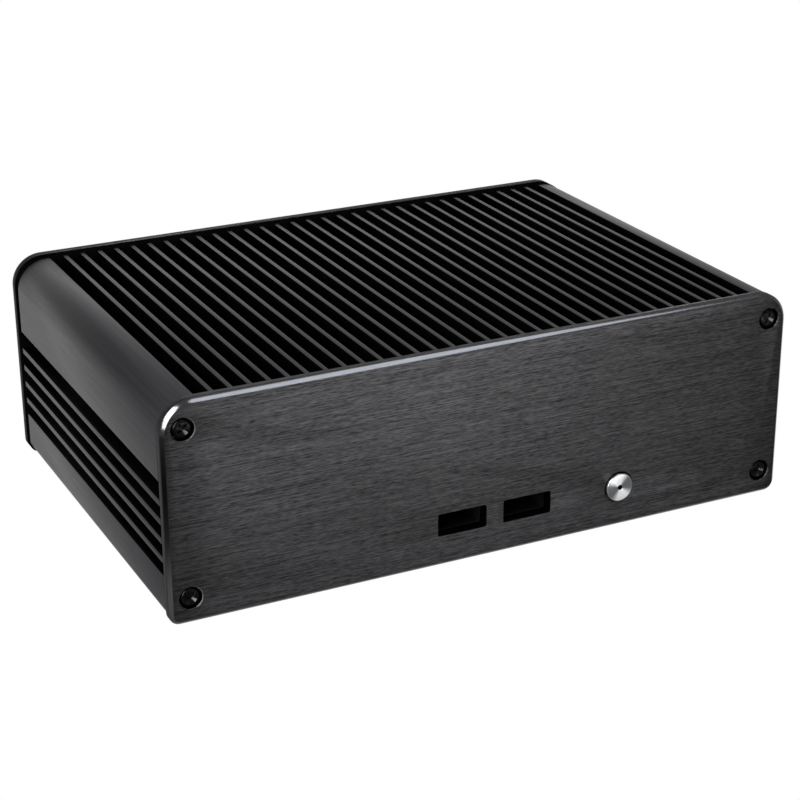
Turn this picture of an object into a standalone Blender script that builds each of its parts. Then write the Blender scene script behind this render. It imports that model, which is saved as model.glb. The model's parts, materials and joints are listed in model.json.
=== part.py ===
"""Fanless mini PC: an aluminium heatsink case that holds one mainboard.

Lengths are written in millimetres and scaled to metres where a mesh is made. X is the width,
Y runs from the front plate to the rear plate and Z is up. The origin is on the surface that
the feet stand on, under the middle of the case.
"""
import math

import bmesh
import bpy
from mathutils import Matrix, Vector

MM = 0.001
GAP = 0.3                      # space kept between two pieces that touch
OVER = 1.0                     # how far a cutter runs past the surface that it cuts
PORT_SIDES = 12
ROUND_SIDES = 24

# Case envelope
WIDTH = 176.0
DEPTH = 122.5
FOOT_RISE = 2.0                # the plates hang this far above the ground
PLATE_HEIGHT = 58.0
PLATE_THICK = 3.0
PLATE_CHAMFER = 0.86
TOP_RADIUS = 8.5
PLATE_LOW_RADIUS = 2.8
FRONT = -DEPTH / 2
REAR = DEPTH / 2
FRONT_INNER = FRONT + PLATE_THICK
REAR_INNER = REAR - PLATE_THICK
PROUD = 0.7                    # how far the button and the rear sockets stand out

# Heatsink shell
SHELL_TOP = 57.8 + FOOT_RISE
SHELL_LOW = 1.3 + FOOT_RISE
SHELL_LOW_RADIUS = 2.6
SHELL_FRONT = FRONT_INNER + GAP
SHELL_REAR = REAR_INNER - 3.45
FIN_COUNT_HALF = 15            # fins on each side of the middle one
FIN_PITCH = 4.92
FIN_THICK = 1.23
FIN_DEPTH = 9.0
FIN_FIELD = 78.35              # outer edge of the last slot
SIDE_SLOT_DEPTH = 4.5
SIDE_SLOT_TOP = 37.4 + FOOT_RISE
SIDE_SLOT_LOW = 12.45 + FOOT_RISE
SIDE_FIN_COUNT = 4
SIDE_FIN_LOWEST = 15.96 + FOOT_RISE
SIDE_FIN_PITCH = 4.99
SIDE_FIN_THICK = 1.55
WALL_INNER = 80.5
CEILING = 44.5 + FOOT_RISE
CEILING_CHAMFER = 2.0
RAIL_INNER = 75.5
RAIL_TOP = 12.9 + FOOT_RISE

# Base plate and feet
BASE_THICK = 1.2
BASE_LOW = SHELL_LOW + GAP
BASE_TOP = BASE_LOW + BASE_THICK
BASE_HALF_WIDTH = 80.0
BASE_SCREW_X = 78.0
BASE_SCREW_Y = 45.0
BASE_PORT_DEPTH = 5.5
FOOT_X = 62.0
FOOT_Y = 42.0
FOOT_RADIUS = 7.5
FOOT_EDGE = 0.5
FOOT_SIDES = 20

# Plate screws
PLATE_SCREW_X = 82.5
PLATE_SCREW_Z = (6.8 + FOOT_RISE, 50.8 + FOOT_RISE)
COUNTERBORE_RADIUS = 2.95
COUNTERBORE_DEPTH = 2.1
COUNTERBORE_EDGE = 0.25
SCREW_HOLE_RADIUS = 1.8
HEAD_RADIUS = 2.6
HEAD_HEIGHT = 1.6
SHANK_RADIUS = 1.4
PLATE_SHANK = 11.0
FLAT_HEAD_RADIUS = 2.3
FLAT_HEAD_HEIGHT = 0.8
HEAD_SINK = 0.05               # a flat head sits this far inside the sheet
HEAD_CLEARANCE = 0.36          # round a flat head and its shank
SCREW_TIP = 0.5                # length and depth of the chamfer on a screw's point
BASE_SHANK = 6.0
BOARD_SHANK = 4.0
RECESS_ARM = 1.55
RECESS_HALF_WIDTH = 0.34
RECESS_DEPTH = 1.1
FLAT_RECESS_DEPTH = 0.7
SCREW_SIDES = 14

# Power button
BUTTON_X = 37.5
BUTTON_Z = 11.3 + FOOT_RISE
BUTTON_RADIUS = 3.9
BUTTON_HOLE_RADIUS = 4.3
BUTTON_BORE = 0.7
BUTTON_EDGE = 0.2
BUTTON_SIDES = 40
STEM_RADIUS = 2.4
FLANGE_RADIUS = 5.1
CAP_FRONT = FRONT - PROUD
FLANGE_FRONT = FRONT_INNER + 0.4
FLANGE_REAR = FLANGE_FRONT + 0.8
STEM_REAR = FLANGE_REAR + 1.85
PIPE_FRONT = CAP_FRONT + 1.8
PIPE_RADIUS = 0.4
PIPE_HEAD_RADIUS = 1.6
PIPE_REAR = STEM_REAR + 0.7
PLUNGER_RADIUS = 1.7
PLUNGER_FRONT = PIPE_REAR + GAP
PLUNGER_REAR = PLUNGER_FRONT + 1.6
SWITCH_HALF = 3.1
SWITCH_WELL_RADIUS = 2.1
SWITCH_WELL_DEPTH = 1.8
SWITCH_FRONT = PLUNGER_REAR - 0.8
SWITCH_REAR = SWITCH_FRONT + 2.8
SWITCH_BOARD_HALF = 4.2
SWITCH_BOARD_REAR = SWITCH_REAR + GAP + 0.8
HOLDER_REAR = SWITCH_BOARD_REAR + GAP + 0.9
HOLDER_INNER = 6.3
HOLDER_OUTER = 7.4
HOLDER_CABLE_HOLE = 2.0

# Front sockets
FRONT_USB_X = (-8.9, 9.9)
FRONT_USB_Z = 11.4 + FOOT_RISE
USB_CUT = (13.9, 6.2)
USB_CUT_RADIUS = 0.6
USB_SHELL = (13.2, 5.6)
USB_MOUTH = (12.5, 5.0)
USB_LENGTH = 14.0
USB_MOUTH_Y = FRONT_INNER - 0.4  # the shells reach a little way into their cut-outs
USB_TONGUE = (11.1, 1.8)
USB_TONGUE_LIFT = 1.0
MOUTH_CORNER = 0.4
WELL_FLOOR = 1.0               # wall left behind a socket's mouth
TONGUE_SETBACK = 2.9           # from a front socket's mouth to its tongue

# Mainboard
BOARD_SIZE = (146.0, 102.0)
BOARD_THICK = 1.6
BOARD_LOW = 6.7 + FOOT_RISE
BOARD_TOP = BOARD_LOW + BOARD_THICK
BOARD_FRONT = -47.9
BOARD_REAR = BOARD_FRONT + BOARD_SIZE[1]
BOARD_MIDDLE = (BOARD_FRONT + BOARD_REAR) / 2
PART_LOW = BOARD_TOP + GAP     # underside of whatever stands on the board
STANDOFF_X = 68.5
STANDOFF_Y = 46.5
STANDOFF_RADIUS = 2.6
BLOCK_Y = -8.0
PACKAGE_TOP = PART_LOW + 1.1
DIE_TOP = PART_LOW + 1.9
PAD_HALF = (8.0, 7.0)
PAD_TOP = DIE_TOP + GAP + 0.5
BLOCK_LOW = PAD_TOP + GAP
BLOCK_HIGH = CEILING - GAP
MEMORY_SOCKET_X = (-71.5, -65.5)
MEMORY_SOCKET_Y = (-28.0, 42.0)
MEMORY_SOCKET_HEIGHT = 4.0
MEMORY_SLOT_X = (-67.5, -64.0)
MEMORY_SLOT_END = 0.8          # wall left at each end of the slot
MEMORY_SLOT_LOW = PART_LOW + 1.4
MEMORY_SLOT_HIGH = PART_LOW + 3.1
MEMORY_X = (-67.1, -37.5)
MEMORY_END_GAP = 0.4
SSD_PLACE = (54.0, 3.0)
CELL_PLACE = (31.0, -32.0)
CELL_RADIUS = 10.0
CELL_HEIGHT = 3.2
CELL_EDGE = 0.6

# Rear frame
FRAME_OPENING_X = 78.6
FRAME_OPENING_CORNER = 1.5

# Rear sockets
SOCKET_END = REAR + PROUD
DC_X = -58.0
DC_LIFT = 5.0                  # axis above the board's pieces
DC_RADIUS = 3.9
DC_BODY_RADIUS = 4.6
DC_BORE = 2.9
DC_DEPTH = 9.5
DC_LENGTH = 14.0
DC_PIN_RADIUS = 1.0
DISPLAY_X = (-38.0, -16.0)
DISPLAY_SHELL = (15.0, 6.2)
DISPLAY_MOUTH = (14.2, 5.4)
DISPLAY_LENGTH = 12.0
DISPLAY_TONGUE = (12.0, 1.6)
DISPLAY_TONGUE_LIFT = 0.3
DISPLAY_CUT_CORNER = 0.8
NETWORK_X = 5.0
NETWORK_SHELL = (16.0, 13.6)
NETWORK_MOUTH = (11.8, 8.4)
NETWORK_MOUTH_DROP = -0.8
NETWORK_LENGTH = 21.0
NETWORK_WELL = 12.5
REAR_USB_X = 26.0
REAR_USB_SHELL = (13.4, 15.0)
REAR_USB_LENGTH = 17.0
REAR_USB_ROWS = (-3.5, 3.5)
SOCKET_CUT_CORNER = 0.5
REAR_TONGUE_SETBACK = 4.6
DC_Z = PART_LOW + DC_LIFT
DISPLAY_Z = PART_LOW + DISPLAY_SHELL[1] / 2
NETWORK_Z = PART_LOW + NETWORK_SHELL[1] / 2
REAR_USB_Z = PART_LOW + REAR_USB_SHELL[1] / 2
ANTENNA_X = 62.0
ANTENNA_Z = 34.0 + FOOT_RISE
PLUG_RADIUS = 3.2
PLUG_HEAD_RADIUS = 4.6
PLUG_HEAD = 0.4


# ---------------------------------------------------------------- helpers

def new_material(name, colour, roughness, metallic):
    """Return a Principled material with the given colour."""
    material = bpy.data.materials.get(name) or bpy.data.materials.new(name)
    material.use_nodes = True
    shader = material.node_tree.nodes["Principled BSDF"]
    shader.inputs["Base Color"].default_value = (*colour, 1.0)
    shader.inputs["Roughness"].default_value = roughness
    shader.inputs["Metallic"].default_value = metallic
    material.diffuse_color = (*colour, 1.0)
    return material


def black_anodised():
    return new_material("black_anodised", (0.045, 0.043, 0.046), 0.38, 0.9)


def black_steel():
    return new_material("black_steel", (0.02, 0.02, 0.021), 0.4, 0.8)


def turned_aluminium():
    return new_material("turned_aluminium", (0.78, 0.79, 0.8), 0.22, 1.0)


def plain_aluminium():
    return new_material("plain_aluminium", (0.62, 0.63, 0.64), 0.4, 1.0)


def black_rubber():
    return new_material("black_rubber", (0.015, 0.015, 0.015), 0.8, 0.0)


def black_plastic():
    return new_material("black_plastic", (0.018, 0.018, 0.019), 0.5, 0.0)


def socket_steel():
    return new_material("socket_steel", (0.55, 0.55, 0.54), 0.3, 1.0)


def board_green():
    return new_material("board_green", (0.02, 0.1, 0.045), 0.45, 0.0)


def brass():
    return new_material("brass", (0.7, 0.5, 0.2), 0.3, 1.0)


def silicon():
    return new_material("silicon", (0.12, 0.12, 0.14), 0.2, 0.3)


def thermal_silicone():
    return new_material("thermal_silicone", (0.35, 0.4, 0.5), 0.8, 0.0)


def clear_acrylic():
    return new_material("clear_acrylic", (0.85, 0.87, 0.9), 0.1, 0.0)


def scaled(point):
    """Return a millimetre point as a vector in metres."""
    return Vector(point) * MM


def mesh_from(bm, name):
    """Store a bmesh with outward normals and return the mesh."""
    bmesh.ops.recalc_face_normals(bm, faces=bm.faces)
    mesh = bpy.data.meshes.new(name)
    bm.to_mesh(mesh)
    bm.free()
    return mesh


def add_object(name, mesh, material):
    """Link a mesh into the scene under its own name and material."""
    obj = bpy.data.objects.new(name, mesh)
    bpy.context.scene.collection.objects.link(obj)
    if not mesh.materials:
        mesh.materials.append(material)
    return obj


def arc(cx, cz, radius, start, end, steps):
    """Points along an arc, angles in degrees, both ends included."""
    points = []
    for step in range(steps + 1):
        angle = math.radians(start + (end - start) * step / steps)
        points.append((cx + radius * math.cos(angle), cz + radius * math.sin(angle)))
    return points


def rounded_outline(low, high, low_radius, high_radius, steps=6):
    """Rounded rectangle from its low and high corners, anticlockwise from the right."""
    (x0, z0), (x1, z1) = low, high
    points = arc(x1 - high_radius, z1 - high_radius, high_radius, 0, 90, steps)
    points += arc(x0 + high_radius, z1 - high_radius, high_radius, 90, 180, steps)
    points += arc(x0 + low_radius, z0 + low_radius, low_radius, 180, 270, steps)
    points += arc(x1 - low_radius, z0 + low_radius, low_radius, 270, 360, steps)
    return points


def plate_outline(shrink=0.0, steps=8):
    """Outline that the two end plates and the rear frame share."""
    half = WIDTH / 2 - shrink
    low = (-half, FOOT_RISE + shrink)
    high = (half, FOOT_RISE + PLATE_HEIGHT - shrink)
    return rounded_outline(low, high, PLATE_LOW_RADIUS - shrink, TOP_RADIUS - shrink, steps)


def add_loft(bm, loops):
    """Join outlines of equal length into one closed solid with flat ends."""
    rings = [[bm.verts.new(scaled(point)) for point in loop] for loop in loops]
    count = len(rings[0])
    for near, far in zip(rings, rings[1:]):
        for i in range(count):
            j = (i + 1) % count
            bm.faces.new((near[i], near[j], far[j], far[i]))
    bm.faces.new(list(reversed(rings[0])))
    bm.faces.new(rings[-1])


def along_y(outline, y):
    return [(x, y, z) for x, z in outline]


def add_prism(bm, outline, y0, y1):
    """Extrude an X-Z outline along Y."""
    add_loft(bm, [along_y(outline, y0), along_y(outline, y1)])


def add_block(bm, low, high):
    """Box between two corners."""
    size = Vector(high) - Vector(low)
    middle = (Vector(high) + Vector(low)) / 2
    place = Matrix.Translation(middle * MM) @ Matrix.Diagonal((*(size * MM), 1.0))
    bmesh.ops.create_cube(bm, size=1.0, matrix=place)


def add_cylinder(bm, start, end, radius, sides):
    """Round bar between two points, which lie along one axis."""
    first, last = Vector(start), Vector(end)
    turn = (last - first).to_track_quat("Z", "Y").to_matrix().to_4x4()
    place = Matrix.Translation((first + last) / 2 * MM) @ turn
    bmesh.ops.create_cone(
        bm, cap_ends=True, segments=sides, radius1=radius * MM, radius2=radius * MM,
        depth=(last - first).length * MM, matrix=place)


def add_turned(bm, profile, sides, closed=False):
    """Turn (radius, height) points about the local Z axis."""
    verts = [bm.verts.new(scaled((radius, 0.0, height))) for radius, height in profile]
    edges = [bm.edges.new(pair) for pair in zip(verts, verts[1:])]
    if closed:
        edges.append(bm.edges.new((verts[-1], verts[0])))
    bmesh.ops.spin(
        bm, geom=verts + edges, cent=(0, 0, 0), axis=(0, 0, 1), angle=2 * math.pi,
        steps=sides, use_duplicate=False)
    bmesh.ops.remove_doubles(bm, verts=bm.verts, dist=1e-6)


def smooth_round(mesh, angle=35.0):
    """Shade a round piece smooth and keep its corners sharp."""
    mesh.shade_smooth()
    mesh.set_sharp_from_angle(angle=math.radians(angle))


def cut(mesh, cutter, name):
    """Return the mesh with the cutter's shapes taken away."""
    body = bpy.data.objects.new(name + "_body", mesh)
    tool = bpy.data.objects.new(name + "_tool", cutter)
    for obj in (body, tool):
        bpy.context.scene.collection.objects.link(obj)
    boolean = body.modifiers.new("cut", "BOOLEAN")
    boolean.operation = "DIFFERENCE"
    boolean.solver = "EXACT"
    boolean.object = tool
    depsgraph = bpy.context.evaluated_depsgraph_get()
    result = bpy.data.meshes.new_from_object(body.evaluated_get(depsgraph))
    result.name = name
    for obj in (body, tool):
        bpy.data.objects.remove(obj)
    return result


def block_piece(name, low, high, material):
    """A plain rectangular piece."""
    bm = bmesh.new()
    add_block(bm, low, high)
    return add_object(name, mesh_from(bm, name), material)


# ---------------------------------------------------------------- heatsink shell

def fin_field_outline():
    """Right half of the finned top, from the middle fin outwards."""
    floor = SHELL_TOP - FIN_DEPTH
    points = []
    for index in range(FIN_COUNT_HALF + 1):
        edge = index * FIN_PITCH + FIN_THICK / 2
        far = edge + FIN_PITCH - FIN_THICK if index < FIN_COUNT_HALF else FIN_FIELD
        points += [(edge, SHELL_TOP), (edge, floor), (far, floor), (far, SHELL_TOP)]
    return points


def side_slot_outline():
    """Right side of the shell with its slots, from the top one down."""
    outer = WIDTH / 2
    floor = outer - SIDE_SLOT_DEPTH
    upper = SIDE_SLOT_TOP
    points = []
    for index in reversed(range(SIDE_FIN_COUNT)):
        fin_low = SIDE_FIN_LOWEST + index * SIDE_FIN_PITCH
        fin_high = fin_low + SIDE_FIN_THICK
        points += [(outer, upper), (floor, upper), (floor, fin_high), (outer, fin_high)]
        upper = fin_low
    points += [(outer, upper), (floor, upper), (floor, SIDE_SLOT_LOW), (outer, SIDE_SLOT_LOW)]
    return points


def shell_outline():
    """Whole cross section of the extrusion."""
    outer = WIDTH / 2
    seat = BASE_TOP + GAP
    right = fin_field_outline()
    right += arc(outer - TOP_RADIUS, SHELL_TOP - TOP_RADIUS, TOP_RADIUS, 90, 0, 10)
    right += side_slot_outline()
    right += arc(outer - SHELL_LOW_RADIUS, SHELL_LOW + SHELL_LOW_RADIUS,
                 SHELL_LOW_RADIUS, 0, -90, 5)
    right += [
        (BASE_HALF_WIDTH + GAP, SHELL_LOW),
        (BASE_HALF_WIDTH + GAP, seat),
        (RAIL_INNER, seat),
        (RAIL_INNER, RAIL_TOP),
        (WALL_INNER, RAIL_TOP),
        (WALL_INNER, CEILING - CEILING_CHAMFER),
        (WALL_INNER - CEILING_CHAMFER, CEILING),
    ]
    left = [(-x, z) for x, z in reversed(right)]
    return right + left


def heatsink_shell():
    bm = bmesh.new()
    add_prism(bm, shell_outline(), SHELL_FRONT, SHELL_REAR)
    solid = mesh_from(bm, "heatsink_shell")
    tool = bmesh.new()
    port_radius = SHANK_RADIUS + GAP
    for side in (-1, 1):
        for z in PLATE_SCREW_Z:
            x = side * PLATE_SCREW_X
            add_cylinder(tool, (x, SHELL_FRONT - OVER, z), (x, SHELL_REAR + OVER, z),
                         port_radius, PORT_SIDES)
        for y in (-BASE_SCREW_Y, BASE_SCREW_Y):
            x = side * BASE_SCREW_X
            add_cylinder(tool, (x, y, SHELL_LOW), (x, y, BASE_TOP + BASE_PORT_DEPTH),
                         port_radius, PORT_SIDES)
    mesh = cut(solid, mesh_from(tool, "ports"), "heatsink_shell")
    return add_object("heatsink_shell", mesh, black_anodised())


# ---------------------------------------------------------------- end plates

def chamfered_plate(face, inner):
    """Solid plate whose outer face, at y = face, has a chamfered edge."""
    step = math.copysign(PLATE_CHAMFER, inner - face)
    bm = bmesh.new()
    add_loft(bm, [
        along_y(plate_outline(PLATE_CHAMFER), face),
        along_y(plate_outline(), face + step),
        along_y(plate_outline(), inner),
    ])
    return mesh_from(bm, "plate")


def add_counterbore(bm, x, z, face, outward):
    """Stepped and chamfered screw hole through an end plate."""
    profile = [
        (0.0, OVER),
        (COUNTERBORE_RADIUS + COUNTERBORE_EDGE, OVER),
        (COUNTERBORE_RADIUS + COUNTERBORE_EDGE, 0.0),
        (COUNTERBORE_RADIUS, -COUNTERBORE_EDGE),
        (COUNTERBORE_RADIUS, -COUNTERBORE_DEPTH),
        (SCREW_HOLE_RADIUS, -COUNTERBORE_DEPTH),
        (SCREW_HOLE_RADIUS, -PLATE_THICK - OVER),
        (0.0, -PLATE_THICK - OVER),
    ]
    part = bmesh.new()
    add_turned(part, profile, ROUND_SIDES)
    turn = Matrix.Rotation(math.radians(90.0 * -outward), 4, "X")
    place = Matrix.Translation(scaled((x, face, z))) @ turn
    bmesh.ops.transform(part, matrix=place, verts=part.verts)
    scratch = mesh_from(part, "counterbore")
    bm.from_mesh(scratch)


def add_window(bm, x, z, size, radius, y0, y1):
    """Rounded rectangular cut-out through a plate."""
    low = (x - size[0] / 2, z - size[1] / 2)
    high = (x + size[0] / 2, z + size[1] / 2)
    add_prism(bm, rounded_outline(low, high, radius, radius, 3), y0, y1)


def add_screw_holes(bm, face, outward):
    for side in (-1, 1):
        for z in PLATE_SCREW_Z:
            add_counterbore(bm, side * PLATE_SCREW_X, z, face, outward)


def front_plate():
    tool = bmesh.new()
    add_screw_holes(tool, FRONT, -1)
    for x in FRONT_USB_X:
        add_window(tool, x, FRONT_USB_Z, USB_CUT, USB_CUT_RADIUS, FRONT - OVER,
                   FRONT_INNER + OVER)
    add_cylinder(tool, (BUTTON_X, FRONT - OVER, BUTTON_Z),
                 (BUTTON_X, FRONT_INNER + OVER, BUTTON_Z), BUTTON_HOLE_RADIUS, BUTTON_SIDES)
    mesh = cut(chamfered_plate(FRONT, FRONT_INNER), mesh_from(tool, "front_holes"), "front_plate")
    return add_object("front_plate", mesh, black_anodised())


def rear_plate():
    tool = bmesh.new()
    add_screw_holes(tool, REAR, 1)
    y0, y1 = REAR_INNER - OVER, REAR + OVER
    for x in DISPLAY_X:
        add_window(tool, x, DISPLAY_Z, grown(DISPLAY_SHELL), DISPLAY_CUT_CORNER, y0, y1)
    add_window(tool, NETWORK_X, NETWORK_Z, grown(NETWORK_SHELL), SOCKET_CUT_CORNER, y0, y1)
    add_window(tool, REAR_USB_X, REAR_USB_Z, grown(REAR_USB_SHELL), SOCKET_CUT_CORNER, y0, y1)
    add_cylinder(tool, (DC_X, y0, DC_Z), (DC_X, y1, DC_Z), DC_RADIUS + GAP, ROUND_SIDES)
    for side in (-1, 1):
        x = side * ANTENNA_X
        add_cylinder(tool, (x, y0, ANTENNA_Z), (x, y1, ANTENNA_Z), PLUG_RADIUS + GAP,
                     ROUND_SIDES)
    mesh = cut(chamfered_plate(REAR, REAR_INNER), mesh_from(tool, "rear_holes"), "rear_plate")
    return add_object("rear_plate", mesh, black_anodised())


def rear_frame():
    """Black spacer frame between the shell and the rear plate."""
    y0, y1 = SHELL_REAR + GAP, REAR_INNER - GAP
    bm = bmesh.new()
    add_prism(bm, plate_outline(), y0, y1)
    tool = bmesh.new()
    low = (-FRAME_OPENING_X, BASE_TOP)
    high = (FRAME_OPENING_X, CEILING)
    opening = rounded_outline(low, high, FRAME_OPENING_CORNER, FRAME_OPENING_CORNER, 3)
    add_prism(tool, opening, y0 - OVER, y1 + OVER)
    for side in (-1, 1):
        for z in PLATE_SCREW_Z:
            x = side * PLATE_SCREW_X
            add_cylinder(tool, (x, y0 - OVER, z), (x, y1 + OVER, z), SCREW_HOLE_RADIUS,
                         PORT_SIDES)
    mesh = cut(mesh_from(bm, "frame"), mesh_from(tool, "frame_opening"), "rear_frame")
    return add_object("rear_frame", mesh, black_plastic())


# ---------------------------------------------------------------- screws

def cross_outline():
    """Plus-shaped outline of the driver recess."""
    a, w = RECESS_ARM, RECESS_HALF_WIDTH
    return [(a, w), (w, w), (w, a), (-w, a), (-w, w), (-a, w),
            (-a, -w), (-w, -w), (-w, -a), (w, -a), (w, -w), (a, -w)]


def screw_mesh(name, profile, top, depth):
    """Turned screw along +Z with a cross recess sunk from its top."""
    bm = bmesh.new()
    add_turned(bm, profile, SCREW_SIDES)
    tool = bmesh.new()
    outline = cross_outline()
    add_loft(tool, [[(x, y, z) for x, y in outline] for z in (top - depth, top + OVER)])
    mesh = cut(mesh_from(bm, name), mesh_from(tool, "recess"), name)
    smooth_round(mesh)
    return mesh


def pan_screw_mesh(name, shank):
    """Low round head on z = 0 and a shank below it."""
    profile = [
        (0.0, HEAD_HEIGHT),
        (HEAD_RADIUS * 0.62, HEAD_HEIGHT * 0.93),
        (HEAD_RADIUS * 0.9, HEAD_HEIGHT * 0.68),
        (HEAD_RADIUS, HEAD_HEIGHT * 0.35),
        (HEAD_RADIUS, 0.0),
        (SHANK_RADIUS, 0.0),
        (SHANK_RADIUS, -shank + SCREW_TIP),
        (SHANK_RADIUS - SCREW_TIP, -shank),
        (0.0, -shank),
    ]
    return screw_mesh(name, profile, HEAD_HEIGHT, RECESS_DEPTH)


def flat_screw_mesh(name, shank):
    """Countersunk head flush with z = 0 and a shank below it."""
    profile = [
        (0.0, 0.0),
        (FLAT_HEAD_RADIUS, 0.0),
        (SHANK_RADIUS, -FLAT_HEAD_HEIGHT),
        (SHANK_RADIUS, -shank + SCREW_TIP),
        (SHANK_RADIUS - SCREW_TIP, -shank),
        (0.0, -shank),
    ]
    return screw_mesh(name, profile, 0.0, FLAT_RECESS_DEPTH)


def place_screw(name, mesh, location, tilt, material):
    screw = add_object(name, mesh, material)
    screw.location = scaled(location)
    screw.rotation_euler = (math.radians(tilt), 0.0, 0.0)
    return screw


def corner_name(prefix, side, upper):
    column = "left" if side < 0 else "right"
    row = "upper" if upper else "lower"
    return f"{prefix}_{row}_{column}"


def plate_screws():
    mesh = pan_screw_mesh("plate_screw", PLATE_SHANK)
    seat = COUNTERBORE_DEPTH - GAP
    for side in (-1, 1):
        for z in PLATE_SCREW_Z:
            upper = z == PLATE_SCREW_Z[1]
            x = side * PLATE_SCREW_X
            place_screw(corner_name("front_screw", side, upper), mesh, (x, FRONT + seat, z),
                        90.0, black_steel())
            place_screw(corner_name("rear_screw", side, upper), mesh, (x, REAR - seat, z),
                        -90.0, black_steel())


def quarter_name(prefix, side, end):
    column = "left" if side < 0 else "right"
    row = "front" if end < 0 else "rear"
    return f"{prefix}_{row}_{column}"


def base_screws():
    mesh = flat_screw_mesh("base_screw", BASE_SHANK)
    for side in (-1, 1):
        for end in (-1, 1):
            place = (side * BASE_SCREW_X, end * BASE_SCREW_Y, BASE_LOW + HEAD_SINK)
            place_screw(quarter_name("base_screw", side, end), mesh, place, 180.0, black_steel())


def board_screws():
    mesh = pan_screw_mesh("board_screw", BOARD_SHANK)
    for side in (-1, 1):
        for end in (-1, 1):
            place = (side * STANDOFF_X, BOARD_MIDDLE + end * STANDOFF_Y, PART_LOW)
            place_screw(quarter_name("board_screw", side, end), mesh, place, 0.0, socket_steel())


# ---------------------------------------------------------------- underside

def base_plate():
    bm = bmesh.new()
    add_block(bm, (-BASE_HALF_WIDTH, SHELL_FRONT + GAP, BASE_LOW),
              (BASE_HALF_WIDTH, SHELL_REAR - GAP, BASE_TOP))
    tool = bmesh.new()
    profile = [
        (0.0, OVER),
        (FLAT_HEAD_RADIUS + HEAD_CLEARANCE, OVER),
        (FLAT_HEAD_RADIUS + HEAD_CLEARANCE, -HEAD_SINK),
        (SHANK_RADIUS + HEAD_CLEARANCE, -FLAT_HEAD_HEIGHT - HEAD_SINK),
        (SHANK_RADIUS + HEAD_CLEARANCE, -BASE_THICK - OVER),
        (0.0, -BASE_THICK - OVER),
    ]
    for side in (-1, 1):
        for end in (-1, 1):
            part = bmesh.new()
            add_turned(part, profile, SCREW_SIDES)
            place = Matrix.Translation(scaled((side * BASE_SCREW_X, end * BASE_SCREW_Y, BASE_LOW)))
            turn = Matrix.Rotation(math.pi, 4, "X")
            bmesh.ops.transform(part, matrix=place @ turn, verts=part.verts)
            tool.from_mesh(mesh_from(part, "base_hole"))
    mesh = cut(mesh_from(bm, "sheet"), mesh_from(tool, "base_holes"), "base_plate")
    return add_object("base_plate", mesh, black_steel())


def rubber_feet():
    top = BASE_LOW - GAP
    profile = [
        (0.0, top),
        (FOOT_RADIUS, top),
        (FOOT_RADIUS, FOOT_EDGE),
        (FOOT_RADIUS - FOOT_EDGE, 0.0),
        (0.0, 0.0),
    ]
    bm = bmesh.new()
    add_turned(bm, profile, FOOT_SIDES)
    mesh = mesh_from(bm, "rubber_foot")
    smooth_round(mesh)
    for side in (-1, 1):
        for end in (-1, 1):
            foot = add_object(quarter_name("foot", side, end), mesh, black_rubber())
            foot.location = scaled((side * FOOT_X, end * FOOT_Y, 0.0))


# ---------------------------------------------------------------- power button

def button_axis():
    """Empty on the line that the button slides along."""
    axis = bpy.data.objects.new("button_axis", None)
    bpy.context.scene.collection.objects.link(axis)
    axis.location = scaled((BUTTON_X, FRONT, BUTTON_Z))
    axis.rotation_euler = (math.radians(-90.0), 0.0, 0.0)
    return axis


def turned_on_button_axis(name, profile, sides, material, axis, closed=False):
    """Turn (radius, y) points about the button's line."""
    bm = bmesh.new()
    add_turned(bm, [(radius, y - FRONT) for radius, y in profile], sides, closed)
    mesh = mesh_from(bm, name)
    smooth_round(mesh)
    piece = add_object(name, mesh, material)
    piece.parent = axis
    return piece


def power_button(axis):
    profile = [
        (BUTTON_BORE, CAP_FRONT),
        (BUTTON_RADIUS - BUTTON_EDGE, CAP_FRONT),
        (BUTTON_RADIUS, CAP_FRONT + BUTTON_EDGE),
        (BUTTON_RADIUS, FLANGE_FRONT),
        (FLANGE_RADIUS, FLANGE_FRONT),
        (FLANGE_RADIUS, FLANGE_REAR),
        (STEM_RADIUS, FLANGE_REAR),
        (STEM_RADIUS, STEM_REAR),
        (BUTTON_BORE, STEM_REAR),
    ]
    return turned_on_button_axis("power_button", profile, BUTTON_SIDES, turned_aluminium(), axis,
                                 closed=True)


def light_pipe(axis):
    profile = [
        (0.0, PIPE_FRONT),
        (PIPE_RADIUS, PIPE_FRONT),
        (PIPE_RADIUS, STEM_REAR + GAP),
        (PIPE_HEAD_RADIUS, STEM_REAR + GAP),
        (PIPE_HEAD_RADIUS, PIPE_REAR),
        (0.0, PIPE_REAR),
    ]
    return turned_on_button_axis("light_pipe", profile, PORT_SIDES, clear_acrylic(), axis)


def switch_plunger(axis):
    profile = [
        (0.0, PLUNGER_FRONT),
        (PLUNGER_RADIUS, PLUNGER_FRONT),
        (PLUNGER_RADIUS, PLUNGER_REAR),
        (0.0, PLUNGER_REAR),
    ]
    return turned_on_button_axis("switch_plunger", profile, PORT_SIDES, black_plastic(), axis)


def switch_body():
    bm = bmesh.new()
    add_block(bm, (BUTTON_X - SWITCH_HALF, SWITCH_FRONT, BUTTON_Z - SWITCH_HALF),
              (BUTTON_X + SWITCH_HALF, SWITCH_REAR, BUTTON_Z + SWITCH_HALF))
    tool = bmesh.new()
    add_cylinder(tool, (BUTTON_X, SWITCH_FRONT - OVER, BUTTON_Z),
                 (BUTTON_X, SWITCH_FRONT + SWITCH_WELL_DEPTH, BUTTON_Z), SWITCH_WELL_RADIUS,
                 PORT_SIDES)
    mesh = cut(mesh_from(bm, "switch"), mesh_from(tool, "well"), "switch_body")
    return add_object("switch_body", mesh, black_plastic())


def switch_board():
    half = SWITCH_BOARD_HALF
    return block_piece("switch_board",
                       (BUTTON_X - half, SWITCH_REAR + GAP, BUTTON_Z - half),
                       (BUTTON_X + half, SWITCH_BOARD_REAR, BUTTON_Z + half), board_green())


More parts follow.
